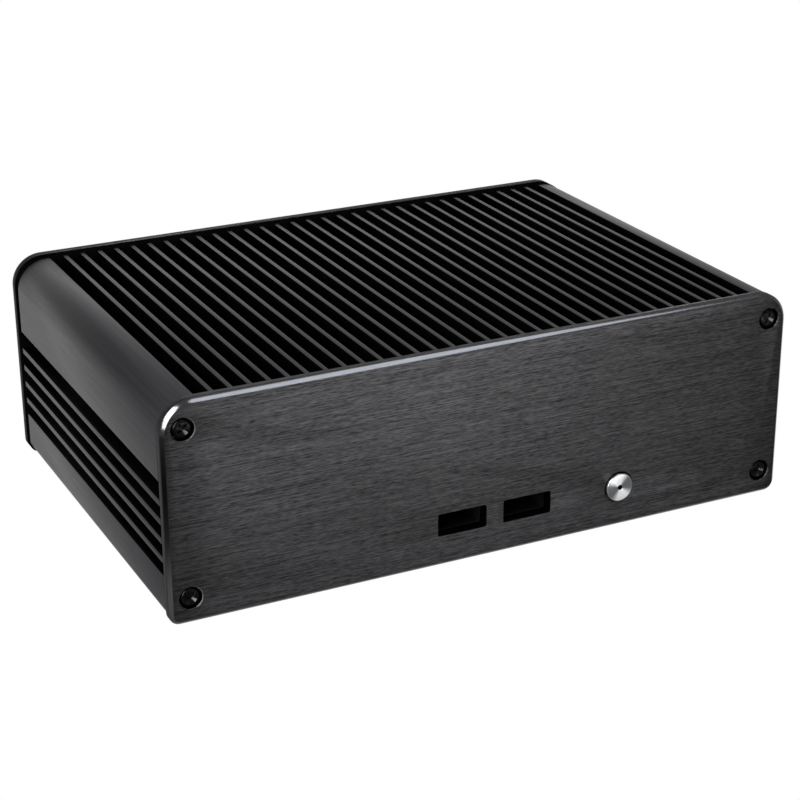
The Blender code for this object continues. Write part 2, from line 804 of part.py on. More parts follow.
def switch_holder():
    """Moulded cup behind the plate that carries the switch."""
    profile = [
        (HOLDER_INNER, FRONT_INNER + GAP),
        (HOLDER_OUTER, FRONT_INNER + GAP),
        (HOLDER_OUTER, HOLDER_REAR),
        (HOLDER_CABLE_HOLE, HOLDER_REAR),
        (HOLDER_CABLE_HOLE, SWITCH_BOARD_REAR + GAP),
        (HOLDER_INNER, SWITCH_BOARD_REAR + GAP),
    ]
    bm = bmesh.new()
    add_turned(bm, [(radius, y - FRONT) for radius, y in profile], ROUND_SIDES, closed=True)
    mesh = mesh_from(bm, "switch_holder")
    smooth_round(mesh)
    holder = add_object("switch_holder", mesh, black_plastic())
    holder.location = scaled((BUTTON_X, FRONT, BUTTON_Z))
    holder.rotation_euler = (math.radians(-90.0), 0.0, 0.0)
    return holder


# ---------------------------------------------------------------- mainboard and what it carries

def mainboard():
    bm = bmesh.new()
    half = BOARD_SIZE[0] / 2
    add_block(bm, (-half, BOARD_FRONT, BOARD_LOW), (half, BOARD_REAR, BOARD_TOP))
    tool = bmesh.new()
    for side in (-1, 1):
        for end in (-1, 1):
            x, y = side * STANDOFF_X, BOARD_MIDDLE + end * STANDOFF_Y
            add_cylinder(tool, (x, y, BOARD_LOW - OVER), (x, y, BOARD_TOP + OVER),
                         SHANK_RADIUS + GAP, PORT_SIDES)
    mesh = cut(mesh_from(bm, "board"), mesh_from(tool, "board_holes"), "mainboard")
    return add_object("mainboard", mesh, board_green())


def standoffs():
    bore = SHANK_RADIUS + GAP
    low, high = BASE_TOP + GAP, BOARD_LOW - GAP
    profile = [(bore, high), (STANDOFF_RADIUS, high), (STANDOFF_RADIUS, low), (bore, low)]
    bm = bmesh.new()
    add_turned(bm, profile, PORT_SIDES, closed=True)
    mesh = mesh_from(bm, "standoff")
    smooth_round(mesh)
    for side in (-1, 1):
        for end in (-1, 1):
            post = add_object(quarter_name("standoff", side, end), mesh, brass())
            post.location = scaled((side * STANDOFF_X, BOARD_MIDDLE + end * STANDOFF_Y, 0.0))


def stepped_mesh(name, levels):
    """Stack of centred rectangles: (half x, half y, low z, high z), widest first."""
    bm = bmesh.new()
    loops = []
    for half_x, half_y, low, high in levels:
        corners = [(half_x, half_y), (-half_x, half_y), (-half_x, -half_y), (half_x, -half_y)]
        loops += [[(x, y, z) for x, y in corners] for z in (low, high)]
    add_loft(bm, loops)
    return mesh_from(bm, name)


def processor():
    mesh = stepped_mesh("processor", [
        (20.0, 12.0, PART_LOW, PACKAGE_TOP),
        (7.0, 6.0, PACKAGE_TOP, DIE_TOP),
    ])
    chip = add_object("processor", mesh, silicon())
    chip.location = scaled((0.0, BLOCK_Y, 0.0))
    return chip


def thermal_pad():
    half_x, half_y = PAD_HALF
    return block_piece("thermal_pad", (-half_x, BLOCK_Y - half_y, DIE_TOP + GAP),
                       (half_x, BLOCK_Y + half_y, PAD_TOP), thermal_silicone())


def heat_block():
    """Column that carries heat from the processor up to the shell."""
    mesh = stepped_mesh("heat_block", [
        (11.0, 11.0, BLOCK_LOW, BLOCK_LOW + 4.0),
        (17.0, 17.0, BLOCK_LOW + 6.0, BLOCK_HIGH - 12.0),
        (30.0, 25.0, BLOCK_HIGH - 6.0, BLOCK_HIGH),
    ])
    block = add_object("heat_block", mesh, plain_aluminium())
    block.location = scaled((0.0, BLOCK_Y, 0.0))
    return block


def memory():
    """Memory module lying flat in its edge socket."""
    (x0, x1), (y0, y1) = MEMORY_SOCKET_X, MEMORY_SOCKET_Y
    bm = bmesh.new()
    add_block(bm, (x0, y0, PART_LOW), (x1, y1, PART_LOW + MEMORY_SOCKET_HEIGHT))
    tool = bmesh.new()
    slot_y = (y0 + MEMORY_SLOT_END, y1 - MEMORY_SLOT_END)
    add_block(tool, (MEMORY_SLOT_X[0], slot_y[0], MEMORY_SLOT_LOW),
              (MEMORY_SLOT_X[1], slot_y[1], MEMORY_SLOT_HIGH))
    mesh = cut(mesh_from(bm, "socket"), mesh_from(tool, "slot"), "memory_socket")
    add_object("memory_socket", mesh, black_plastic())
    block_piece("memory_module",
                (MEMORY_X[0], slot_y[0] + MEMORY_END_GAP, MEMORY_SLOT_LOW + GAP),
                (MEMORY_X[1], slot_y[1] - MEMORY_END_GAP, MEMORY_SLOT_HIGH - GAP),
                board_green())


def ssd_module():
    mesh = stepped_mesh("ssd_module", [
        (11.0, 40.0, PART_LOW + 1.6, PART_LOW + 2.4),
        (9.0, 34.0, PART_LOW + 2.4, PART_LOW + 3.6),
    ])
    card = add_object("ssd_module", mesh, board_green())
    card.location = scaled((*SSD_PLACE, 0.0))
    return card


def coin_cell():
    profile = [
        (0.0, PART_LOW),
        (CELL_RADIUS - CELL_EDGE, PART_LOW),
        (CELL_RADIUS, PART_LOW + CELL_EDGE),
        (CELL_RADIUS, PART_LOW + CELL_HEIGHT),
        (0.0, PART_LOW + CELL_HEIGHT),
    ]
    bm = bmesh.new()
    add_turned(bm, profile, ROUND_SIDES)
    mesh = mesh_from(bm, "coin_cell")
    smooth_round(mesh)
    cell = add_object("coin_cell", mesh, socket_steel())
    cell.location = scaled((*CELL_PLACE, 0.0))
    return cell


# ---------------------------------------------------------------- sockets

def grown(size):
    """Plate cut-out that leaves the usual gap round a socket."""
    return (size[0] + 2 * GAP, size[1] + 2 * GAP)


def socket_shell(name, x, z, size, mouths, y_mouth, y_back, well, material):
    """Rectangular socket whose mouths, (dz, size) each, sink to the depth well."""
    inward = math.copysign(1.0, y_back - y_mouth)
    bm = bmesh.new()
    half_x, half_z = size[0] / 2, size[1] / 2
    y0, y1 = sorted((y_mouth, y_back))
    add_block(bm, (x - half_x, y0, z - half_z), (x + half_x, y1, z + half_z))
    tool = bmesh.new()
    for lift, mouth in mouths:
        low = (x - mouth[0] / 2, z + lift - mouth[1] / 2)
        high = (x + mouth[0] / 2, z + lift + mouth[1] / 2)
        outline = rounded_outline(low, high, MOUTH_CORNER, MOUTH_CORNER, 2)
        span = sorted((y_mouth - inward, y_mouth + inward * well))
        add_prism(tool, outline, span[0], span[1])
    mesh = cut(mesh_from(bm, "case"), mesh_from(tool, "mouths"), name)
    return add_object(name, mesh, material)


def tongue(name, x, z, size, y_tip, y_root):
    """Contact tongue that stands inside a socket's mouth."""
    y0, y1 = sorted((y_tip, y_root))
    return block_piece(name, (x - size[0] / 2, y0, z - size[1] / 2),
                       (x + size[0] / 2, y1, z + size[1] / 2), black_plastic())


def front_usb_sockets():
    back_y = USB_MOUTH_Y + USB_LENGTH
    well = USB_LENGTH - WELL_FLOOR
    for label, x in zip(("left", "right"), FRONT_USB_X):
        socket_shell(f"front_usb_shell_{label}", x, FRONT_USB_Z, USB_SHELL, [(0.0, USB_MOUTH)],
                     USB_MOUTH_Y, back_y, well, socket_steel())
        tongue(f"front_usb_tongue_{label}", x, FRONT_USB_Z + USB_TONGUE_LIFT, USB_TONGUE,
               USB_MOUTH_Y + TONGUE_SETBACK, USB_MOUTH_Y + well - GAP)


def display_sockets():
    well = DISPLAY_LENGTH - WELL_FLOOR
    for label, x in zip(("left", "right"), DISPLAY_X):
        socket_shell(f"display_shell_{label}", x, DISPLAY_Z, DISPLAY_SHELL,
                     [(0.0, DISPLAY_MOUTH)], SOCKET_END, SOCKET_END - DISPLAY_LENGTH, well,
                     socket_steel())
        tongue(f"display_tongue_{label}", x, DISPLAY_Z + DISPLAY_TONGUE_LIFT, DISPLAY_TONGUE,
               SOCKET_END - REAR_TONGUE_SETBACK, SOCKET_END - well + GAP)


def network_socket():
    return socket_shell("network_socket", NETWORK_X, NETWORK_Z, NETWORK_SHELL,
                        [(NETWORK_MOUTH_DROP, NETWORK_MOUTH)], SOCKET_END,
                        SOCKET_END - NETWORK_LENGTH, NETWORK_WELL, socket_steel())


def rear_usb_socket():
    well = REAR_USB_LENGTH - WELL_FLOOR
    socket_shell("rear_usb_shell", REAR_USB_X, REAR_USB_Z, REAR_USB_SHELL,
                 [(row, USB_MOUTH) for row in REAR_USB_ROWS], SOCKET_END,
                 SOCKET_END - REAR_USB_LENGTH, well, socket_steel())
    for label, row in zip(("lower", "upper"), REAR_USB_ROWS):
        tongue(f"rear_usb_tongue_{label}", REAR_USB_X, REAR_USB_Z + row + USB_TONGUE_LIFT,
               USB_TONGUE, SOCKET_END - REAR_TONGUE_SETBACK, SOCKET_END - well + GAP)


def dc_jack():
    """Power inlet: a moulded body with a round barrel, and the pin in its bore."""
    floor = SOCKET_END - DC_DEPTH
    barrel_end, back = REAR_INNER - GAP, SOCKET_END - DC_LENGTH
    barrel = [
        (0.0, floor),
        (DC_BORE, floor),
        (DC_BORE, SOCKET_END),
        (DC_RADIUS, SOCKET_END),
        (DC_RADIUS, barrel_end),
        (DC_BODY_RADIUS, barrel_end),
        (DC_BODY_RADIUS, back),
        (0.0, back),
    ]
    pin = [
        (0.0, SOCKET_END - 1.0),
        (DC_PIN_RADIUS, SOCKET_END - 1.3),
        (DC_PIN_RADIUS, floor + GAP),
        (0.0, floor + GAP),
    ]
    for name, profile, sides, material in (
            ("dc_jack", barrel, ROUND_SIDES, black_plastic()),
            ("dc_pin", pin, PORT_SIDES, brass())):
        bm = bmesh.new()
        add_turned(bm, [(radius, y - REAR) for radius, y in profile], sides)
        mesh = mesh_from(bm, name)
        smooth_round(mesh)
        piece = add_object(name, mesh, material)
        piece.location = scaled((DC_X, REAR, DC_Z))
        piece.rotation_euler = (math.radians(-90.0), 0.0, 0.0)


def antenna_plugs():
    """Blind plugs in the two unused antenna holes."""
    head = GAP + PLUG_HEAD
    tail = -PLATE_THICK - 0.1
    profile = [
        (0.0, head),
        (PLUG_HEAD_RADIUS - PLUG_HEAD, head),
        (PLUG_HEAD_RADIUS, head - 0.3),
        (PLUG_HEAD_RADIUS, GAP),
        (PLUG_RADIUS, GAP),
        (PLUG_RADIUS, tail),
        (0.0, tail),
    ]
    bm = bmesh.new()
    add_turned(bm, profile, ROUND_SIDES)
    mesh = mesh_from(bm, "antenna_plug")
    smooth_round(mesh)
    for side, label in ((-1, "left"), (1, "right")):
        plug = add_object(f"antenna_plug_{label}", mesh, black_plastic())
        plug.location = scaled((side * ANTENNA_X, REAR, ANTENNA_Z))
        plug.rotation_euler = (math.radians(-90.0), 0.0, 0.0)


# ---------------------------------------------------------------- assembly

def main():
    for obj in list(bpy.data.objects):
        bpy.data.objects.remove(obj)
    heatsink_shell()
    front_plate()
    rear_plate()
    rear_frame()
    plate_screws()
    base_plate()
    base_screws()
    rubber_feet()
    axis = button_axis()
    power_button(axis)
    light_pipe(axis)
    switch_plunger(axis)
    switch_body()
    switch_board()
    switch_holder()
    mainboard()
    standoffs()
    board_screws()
    processor()
    thermal_pad()
    heat_block()
    memory()
    ssd_module()
    coin_cell()
    front_usb_sockets()
    display_sockets()
    network_socket()
    rear_usb_socket()
    dc_jack()
    antenna_plugs()


main()
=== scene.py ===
"""Looks of a fanless mini PC: brushed and anodised case, screws, button, sockets and studio."""
from __future__ import annotations

import json
import logging
import math
from contextlib import contextmanager
from dataclasses import dataclass, field, replace
from enum import Enum
from typing import Callable, Iterator

import bmesh
import bpy
from mathutils import Matrix, Vector

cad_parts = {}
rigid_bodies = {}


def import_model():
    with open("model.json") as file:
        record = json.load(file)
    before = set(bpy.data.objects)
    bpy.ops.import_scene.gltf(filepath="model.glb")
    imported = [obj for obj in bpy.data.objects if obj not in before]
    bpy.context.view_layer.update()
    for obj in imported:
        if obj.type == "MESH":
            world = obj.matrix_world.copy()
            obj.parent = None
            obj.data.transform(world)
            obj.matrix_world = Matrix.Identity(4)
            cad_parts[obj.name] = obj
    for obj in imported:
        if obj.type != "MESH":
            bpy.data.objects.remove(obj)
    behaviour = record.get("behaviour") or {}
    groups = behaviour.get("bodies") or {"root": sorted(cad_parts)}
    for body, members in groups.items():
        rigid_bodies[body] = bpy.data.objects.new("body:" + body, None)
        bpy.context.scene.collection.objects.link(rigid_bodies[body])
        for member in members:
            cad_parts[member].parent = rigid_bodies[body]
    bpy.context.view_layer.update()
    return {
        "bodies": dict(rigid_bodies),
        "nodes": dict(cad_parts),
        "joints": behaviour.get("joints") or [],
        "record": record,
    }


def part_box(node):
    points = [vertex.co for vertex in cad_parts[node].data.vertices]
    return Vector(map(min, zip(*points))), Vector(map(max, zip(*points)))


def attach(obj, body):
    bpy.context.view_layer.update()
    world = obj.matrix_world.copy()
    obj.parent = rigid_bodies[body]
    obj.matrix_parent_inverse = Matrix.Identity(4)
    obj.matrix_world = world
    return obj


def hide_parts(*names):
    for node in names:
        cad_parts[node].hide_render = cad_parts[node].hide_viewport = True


MM = 0.001
TINY = 1e-6                     # two places closer than this are the same
QUARTER_TURN = 0.25             # anisotropic rotation that turns a highlight by 90 degrees
LOG = logging.getLogger("mini_pc")
CASE = "case"
BUTTON = "button"
SIDES = ("left", "right")
ENDS = ("front", "rear")

Point = tuple[float, float, float]
Profile = list[tuple[float, float]]


# ------------------------------------------------------------------ bench: modelling helpers

def deselect_all() -> None:
    """Leave object mode with nothing selected."""
    if bpy.context.mode != "OBJECT":
        bpy.ops.object.mode_set(mode="OBJECT")
    bpy.ops.object.select_all(action="DESELECT")


def make_active(obj: bpy.types.Object) -> None:
    """Select one object alone and make it the active one.

    Args:
        obj: Object to select.
    """
    deselect_all()
    obj.select_set(True)
    bpy.context.view_layer.objects.active = obj


def settle(obj: bpy.types.Object) -> bpy.types.Object:
    """Move an object's place, turn and scale into its mesh.

    Args:
        obj: Object to settle.

    Returns:
        The same object.
    """
    make_active(obj)
    bpy.ops.object.transform_apply(location=True, rotation=True, scale=True)
    return obj


def named(obj: bpy.types.Object, name: str) -> bpy.types.Object:
    """Give an object and its mesh the same name.

    Args:
        obj: Object to name.
        name: New name.

    Returns:
        The same object.
    """
    obj.name = name
    obj.data.name = name
    return obj


def add_cube(name: str, low: Point, high: Point) -> bpy.types.Object:
    """Add a cube primitive that fills the space between two corners.

    Args:
        name: Name of the new piece.
        low: Lowest corner in metres.
        high: Highest corner in metres.

    Returns:
        The new object, with its place in its mesh.
    """
    deselect_all()
    middle = [(a + b) / 2 for a, b in zip(low, high)]
    span = [b - a for a, b in zip(low, high)]
    bpy.ops.mesh.primitive_cube_add(size=1.0, location=middle, scale=span)
    return settle(named(bpy.context.object, name))


def add_rod(name: str, start: Point, end: Point, radius: float, sides: int) -> bpy.types.Object:
    """Add a cylinder primitive between two points.

    Args:
        name: Name of the new piece.
        start: Middle of the first end, in metres.
        end: Middle of the other end, in metres.
        radius: Radius in metres.
        sides: Number of sides.

    Returns:
        The new object, with its place in its mesh.
    """
    deselect_all()
    first, last = Vector(start), Vector(end)
    turn = (last - first).to_track_quat("Z", "Y").to_euler()
    bpy.ops.mesh.primitive_cylinder_add(
        vertices=sides, radius=radius, depth=(last - first).length,
        location=(first + last) / 2, rotation=turn)
    return settle(named(bpy.context.object, name))


def runs_along_y(a: Vector, b: Vector) -> bool:
    """True for an edge that runs from front to rear."""
    return abs(a.x - b.x) + abs(a.z - b.z) < TINY


def runs_along_z(a: Vector, b: Vector) -> bool:
    """True for an upright edge."""
    return abs(a.x - b.x) + abs(a.y - b.y) < TINY


@contextmanager
def edit(obj: bpy.types.Object) -> Iterator[bmesh.types.BMesh]:
    """Open an object in edit mode with nothing selected, and close it again.

    Args:
        obj: Object to edit.

    Yields:
        Its mesh, open for editing.
    """
    make_active(obj)
    bpy.ops.object.mode_set(mode="EDIT")
    bpy.ops.mesh.select_mode(type="VERT")
    bpy.ops.mesh.select_all(action="DESELECT")
    yield bmesh.from_edit_mesh(obj.data)
    bpy.ops.object.mode_set(mode="OBJECT")


def pick(bm: bmesh.types.BMesh, obj: bpy.types.Object, verts: Callable[[Vector], bool]) -> None:
    """Select every edge and face whose corners all pass a test.

    Args:
        bm: Open mesh.
        obj: Object that the mesh belongs to.
        verts: Test of one corner's place.
    """
    for vert in bm.verts:
        vert.select = verts(vert.co)
    bm.select_flush(True)
    bmesh.update_edit_mesh(obj.data)


def bevel_edges(obj: bpy.types.Object, edge_test: Callable[[Vector, Vector], bool],
                width: float, segments: int) -> None:
    """Bevel the edges whose two ends pass a test.

    Args:
        obj: Piece to work on.
        edge_test: Takes the two ends of an edge.
        width: Bevel offset in metres.
        segments: Number of steps across the bevel.
    """
    with edit(obj) as bm:
        bpy.ops.mesh.select_mode(type="EDGE")
        for edge in bm.edges:
            edge.select = edge_test(edge.verts[0].co, edge.verts[1].co)
        bmesh.update_edit_mesh(obj.data)
        bpy.ops.mesh.bevel(offset=width, segments=segments, affect="EDGES", clamp_overlap=False)


def use_modifier(obj: bpy.types.Object, kind: str, **settings: object) -> None:
    """Add a modifier with the given settings and apply it.

    Args:
        obj: Object that gets the modifier.
        kind: Kind of modifier.
        **settings: Value of each setting.
    """
    make_active(obj)
    modifier = obj.modifiers.new(kind.lower(), kind)
    for name, value in settings.items():
        setattr(modifier, name, value)
    bpy.ops.object.modifier_apply(modifier=modifier.name)


def subtract(obj: bpy.types.Object, *cutters: bpy.types.Object) -> None:
    """Cut each cutter out of a piece and throw the cutter away.

    Args:
        obj: Piece to cut.
        *cutters: Objects to cut out of it.
    """
    for cutter in cutters:
        use_modifier(obj, "BOOLEAN", operation="DIFFERENCE", solver="EXACT", object=cutter)
        bpy.data.objects.remove(cutter)


def join(name: str, pieces: list[bpy.types.Object]) -> bpy.types.Object:
    """Join several meshes into one object.

    Args:
        name: Name of the joined object.
        pieces: Objects to join.

    Returns:
        The joined object.
    """
    make_active(pieces[0])
    for piece in pieces:
        piece.select_set(True)
    bpy.ops.object.join()
    return named(bpy.context.object, name)


def copy_of(obj: bpy.types.Object, name: str, place: Matrix) -> bpy.types.Object:
    """Copy a piece with its own mesh and put the copy in its place.

    Args:
        obj: Piece to copy.
        name: Name of the copy.
        place: Matrix that takes the piece's mesh to the copy's place.

    Returns:
        The copy, with its place in its mesh.
    """
    twin = obj.copy()
    twin.data = obj.data.copy()
    bpy.context.scene.collection.objects.link(twin)
    twin.data.transform(place)
    return named(twin, name)


def round_outline(obj: bpy.types.Object, low: Vector, high: Vector, radii: tuple[float, float],
                  steps: tuple[int, int]) -> None:
    """Round the upper and lower edges that run from front to rear.

    Args:
        obj: Piece to work on, still a plain block.
        low: Lowest corner of the block.
        high: Highest corner of the block.
        radii: Radius of the two upper edges, then of the two lower edges.
        steps: Steps round an upper edge, then round a lower edge.
    """
    bevel_edges(obj, lambda a, b: runs_along_y(a, b) and a.z > high.z - TINY, radii[0], steps[0])
    bevel_edges(obj, lambda a, b: runs_along_y(a, b) and a.z < low.z + TINY, radii[1], steps[1])


def middle_of(node: str) -> Vector:
    """Middle of a CAD node's box."""
    low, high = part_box(node)
    return (low + high) / 2


def soften(obj: bpy.types.Object, width: float, segments: int = 2, angle: float = 35.0) -> None:
    """Break every sharp edge with a small bevel and shade the piece smooth.

    Args:
        obj: Piece to work on.
        width: Bevel width in metres.
        segments: Number of steps across the bevel.
        angle: Edges that turn by more than this many degrees are broken.
    """
    use_modifier(obj, "BEVEL", width=width, segments=segments, limit_method="ANGLE",
                 angle_limit=math.radians(angle), harden_normals=False, miter_outer="MITER_ARC")
    shade(obj)


def shade(obj: bpy.types.Object, angle: float = 40.0) -> None:
    """Shade a piece smooth, with edges over the angle kept sharp."""
    make_active(obj)
    bpy.ops.object.shade_smooth_by_angle(angle=math.radians(angle))


def turned(name: str, profile: Profile, sides: int, place: Matrix) -> bpy.types.Object:
    """Turn a piece from a disc, one extruded step for each point of its profile.

    Args:
        name: Name of the new piece.
        profile: Radius and height of each step, in metres, along the local Z axis.
        sides: Number of sides of the round.
        place: Matrix that puts the turned piece in its place.

    Returns:
        The closed piece, with its place in its mesh.
    """
    deselect_all()
    radius, height = profile[0]
    bpy.ops.mesh.primitive_circle_add(
        vertices=sides, radius=radius, fill_type="NGON", location=(0, 0, height))
    obj = settle(named(bpy.context.object, name))
    make_active(obj)
    bpy.ops.object.mode_set(mode="EDIT")
    bpy.ops.mesh.select_mode(type="FACE")
    bpy.ops.mesh.select_all(action="SELECT")
    for next_radius, next_height in profile[1:]:
        bpy.ops.mesh.extrude_region_move(
            TRANSFORM_OT_translate={"value": (0, 0, next_height - height)})
        ratio = next_radius / radius
        bpy.ops.transform.resize(value=(ratio, ratio, 1.0), center_override=(0, 0, next_height))
        radius, height = next_radius, next_height
    bpy.ops.mesh.select_all(action="SELECT")
    bpy.ops.mesh.remove_doubles(threshold=TINY / 10)
    bpy.ops.mesh.normals_make_consistent(inside=False)
    bpy.ops.object.mode_set(mode="OBJECT")
    obj.matrix_world = place
    return settle(obj)


class Facing(Enum):
    """Direction that the outer side of a turned piece looks in."""

    FRONT = "front"
    REAR = "rear"
    DOWN = "down"

    def place(self, at: Point) -> Matrix:
        """Matrix that turns local +Z this way and moves it to a point.

        Args:
            at: Point that the origin moves to.

        Returns:
            The matrix.
        """
        turns = {
            Facing.FRONT: Matrix.Rotation(math.radians(90.0), 4, "X"),
            Facing.REAR: Matrix.Rotation(math.radians(-90.0), 4, "X"),
            Facing.DOWN: Matrix.Rotation(math.radians(180.0), 4, "X"),
        }
        return Matrix.Translation(at) @ turns[self]


def side_of(node: str, facing: Facing) -> Point:
    """Middle of the side of a CAD node that faces one way.

    Args:
        node: Name of the node.
        facing: Way that the side faces.

    Returns:
        The middle, in metres.
    """
    low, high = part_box(node)
    middle = (low + high) / 2
    if facing is Facing.DOWN:
        return (middle.x, middle.y, low.z)
    return (middle.x, low.y if facing is Facing.FRONT else high.y, middle.z)


# ------------------------------------------------------------------ finishes

def linear(code: str) -> tuple[float, float, float, float]:
    """Turn an sRGB hex colour into linear values.

    Args:
        code: Colour as # and six hex digits.

    Returns:
        Red, green, blue and an opacity of one.
    """
    parts = [int(code[i:i + 2], 16) / 255 for i in (1, 3, 5)]
    levels = [p / 12.92 if p <= 0.04045 else ((p + 0.055) / 1.055) ** 2.4 for p in parts]
    return (*levels, 1.0)


def add_node(tree: bpy.types.NodeTree, kind: str, settings: dict | None = None,
             links: dict | None = None) -> bpy.types.Node:
    """Add a shader node with its settings and links.

    Args:
        tree: Node tree that takes the node.
        kind: Node class, such as ShaderNodeTexNoise.
        settings: Input values by socket name, and node properties by attribute name.
        links: Output sockets that feed this node's inputs, by input name or number.

    Returns:
        The new node.
    """
    node = tree.nodes.new(kind)
    for name, value in (settings or {}).items():
        if isinstance(name, int) or name in node.inputs:
            node.inputs[name].default_value = value
        else:
            setattr(node, name, value)
    for name, source in (links or {}).items():
        tree.links.new(source, node.inputs[name])
    return node


class Grain(Enum):
    """Axis that the brush or die lines run along."""

    X = 0
    Y = 1
    Z = 2


@dataclass(frozen=True)
class Finish:
    """Base of every finish: one named material with a Principled shader."""

    name: str
    colour: str
    roughness: float = 0.5
    metallic: float = 0.0
    specular: float = 0.5

    def material(self) -> bpy.types.Material:
        """Return the finish's material, made on first use.

        Returns:
            The material.
        """
        found = bpy.data.materials.get(self.name)
        if found:
            return found
        material = bpy.data.materials.new(self.name)
        material.use_nodes = True
        tree = material.node_tree
        shader = tree.nodes["Principled BSDF"]
        shader.inputs["Base Color"].default_value = linear(self.colour)
        shader.inputs["Roughness"].default_value = self.roughness
        shader.inputs["Metallic"].default_value = self.metallic
        shader.inputs["Specular IOR Level"].default_value = self.specular
        self.texture(tree, shader)
        return material

    def texture(self, tree: bpy.types.NodeTree, shader: bpy.types.Node) -> None:
        """Add the finish's own pattern. The plain base adds none."""

    def coordinates(self, tree: bpy.types.NodeTree, scale: Point) -> bpy.types.NodeSocket:
        """Object coordinates stretched by a scale for each axis.

        Args:
            tree: Node tree of the material.
            scale: Scale of each axis.

        Returns:
            Socket with the coordinates.
        """
        place = add_node(tree, "ShaderNodeTexCoord")
        mapping = add_node(tree, "ShaderNodeMapping", {"Scale": scale},
                           {"Vector": place.outputs["Object"]})
        return mapping.outputs["Vector"]

    def noise(self, tree: bpy.types.NodeTree, vector: bpy.types.NodeSocket, detail: float = 2.0,
              roughness: float = 0.5) -> bpy.types.NodeSocket:
        """Noise on ready-scaled coordinates.

        Args:
            tree: Node tree of the material.
            vector: Coordinates.
            detail: Number of finer layers.
            roughness: Weight of the finer layers.

        Returns:
            Socket with the noise.
        """
        node = add_node(tree, "ShaderNodeTexNoise",
                        {"Scale": 1.0, "Detail": detail, "Roughness": roughness},
                        {"Vector": vector})
        return node.outputs["Fac"]

    def spread(self, tree: bpy.types.NodeTree, value: bpy.types.NodeSocket, low: float,
               high: float) -> bpy.types.NodeSocket:
        """Stretch the middle of a noise to run from low to high.

        Args:
            tree: Node tree of the material.
            value: Noise.
            low: Value at the bottom of the stretch.
            high: Value at its top.

        Returns:
            Socket with the stretched value.
        """
        node = add_node(tree, "ShaderNodeMapRange",
                        {"From Min": 0.3, "From Max": 0.7, "To Min": low, "To Max": high},
                        {"Value": value})
        return node.outputs["Result"]

    def tint(self, tree: bpy.types.NodeTree, value: bpy.types.NodeSocket, dark: str,
             light: str) -> bpy.types.NodeSocket:
        """Colour that runs from dark to light with a noise.

        Args:
            tree: Node tree of the material.
            value: Noise.
            dark: Gain at the bottom.
            light: Gain at the top.

        Returns:
            Socket with the colour.
        """
        ramp = add_node(tree, "ShaderNodeValToRGB", None, {"Fac": value})
        ramp.color_ramp.elements[0].color = linear(dark)
        ramp.color_ramp.elements[0].position = 0.3
        ramp.color_ramp.elements[1].color = linear(light)
        ramp.color_ramp.elements[1].position = 0.7
        return ramp.outputs["Color"]


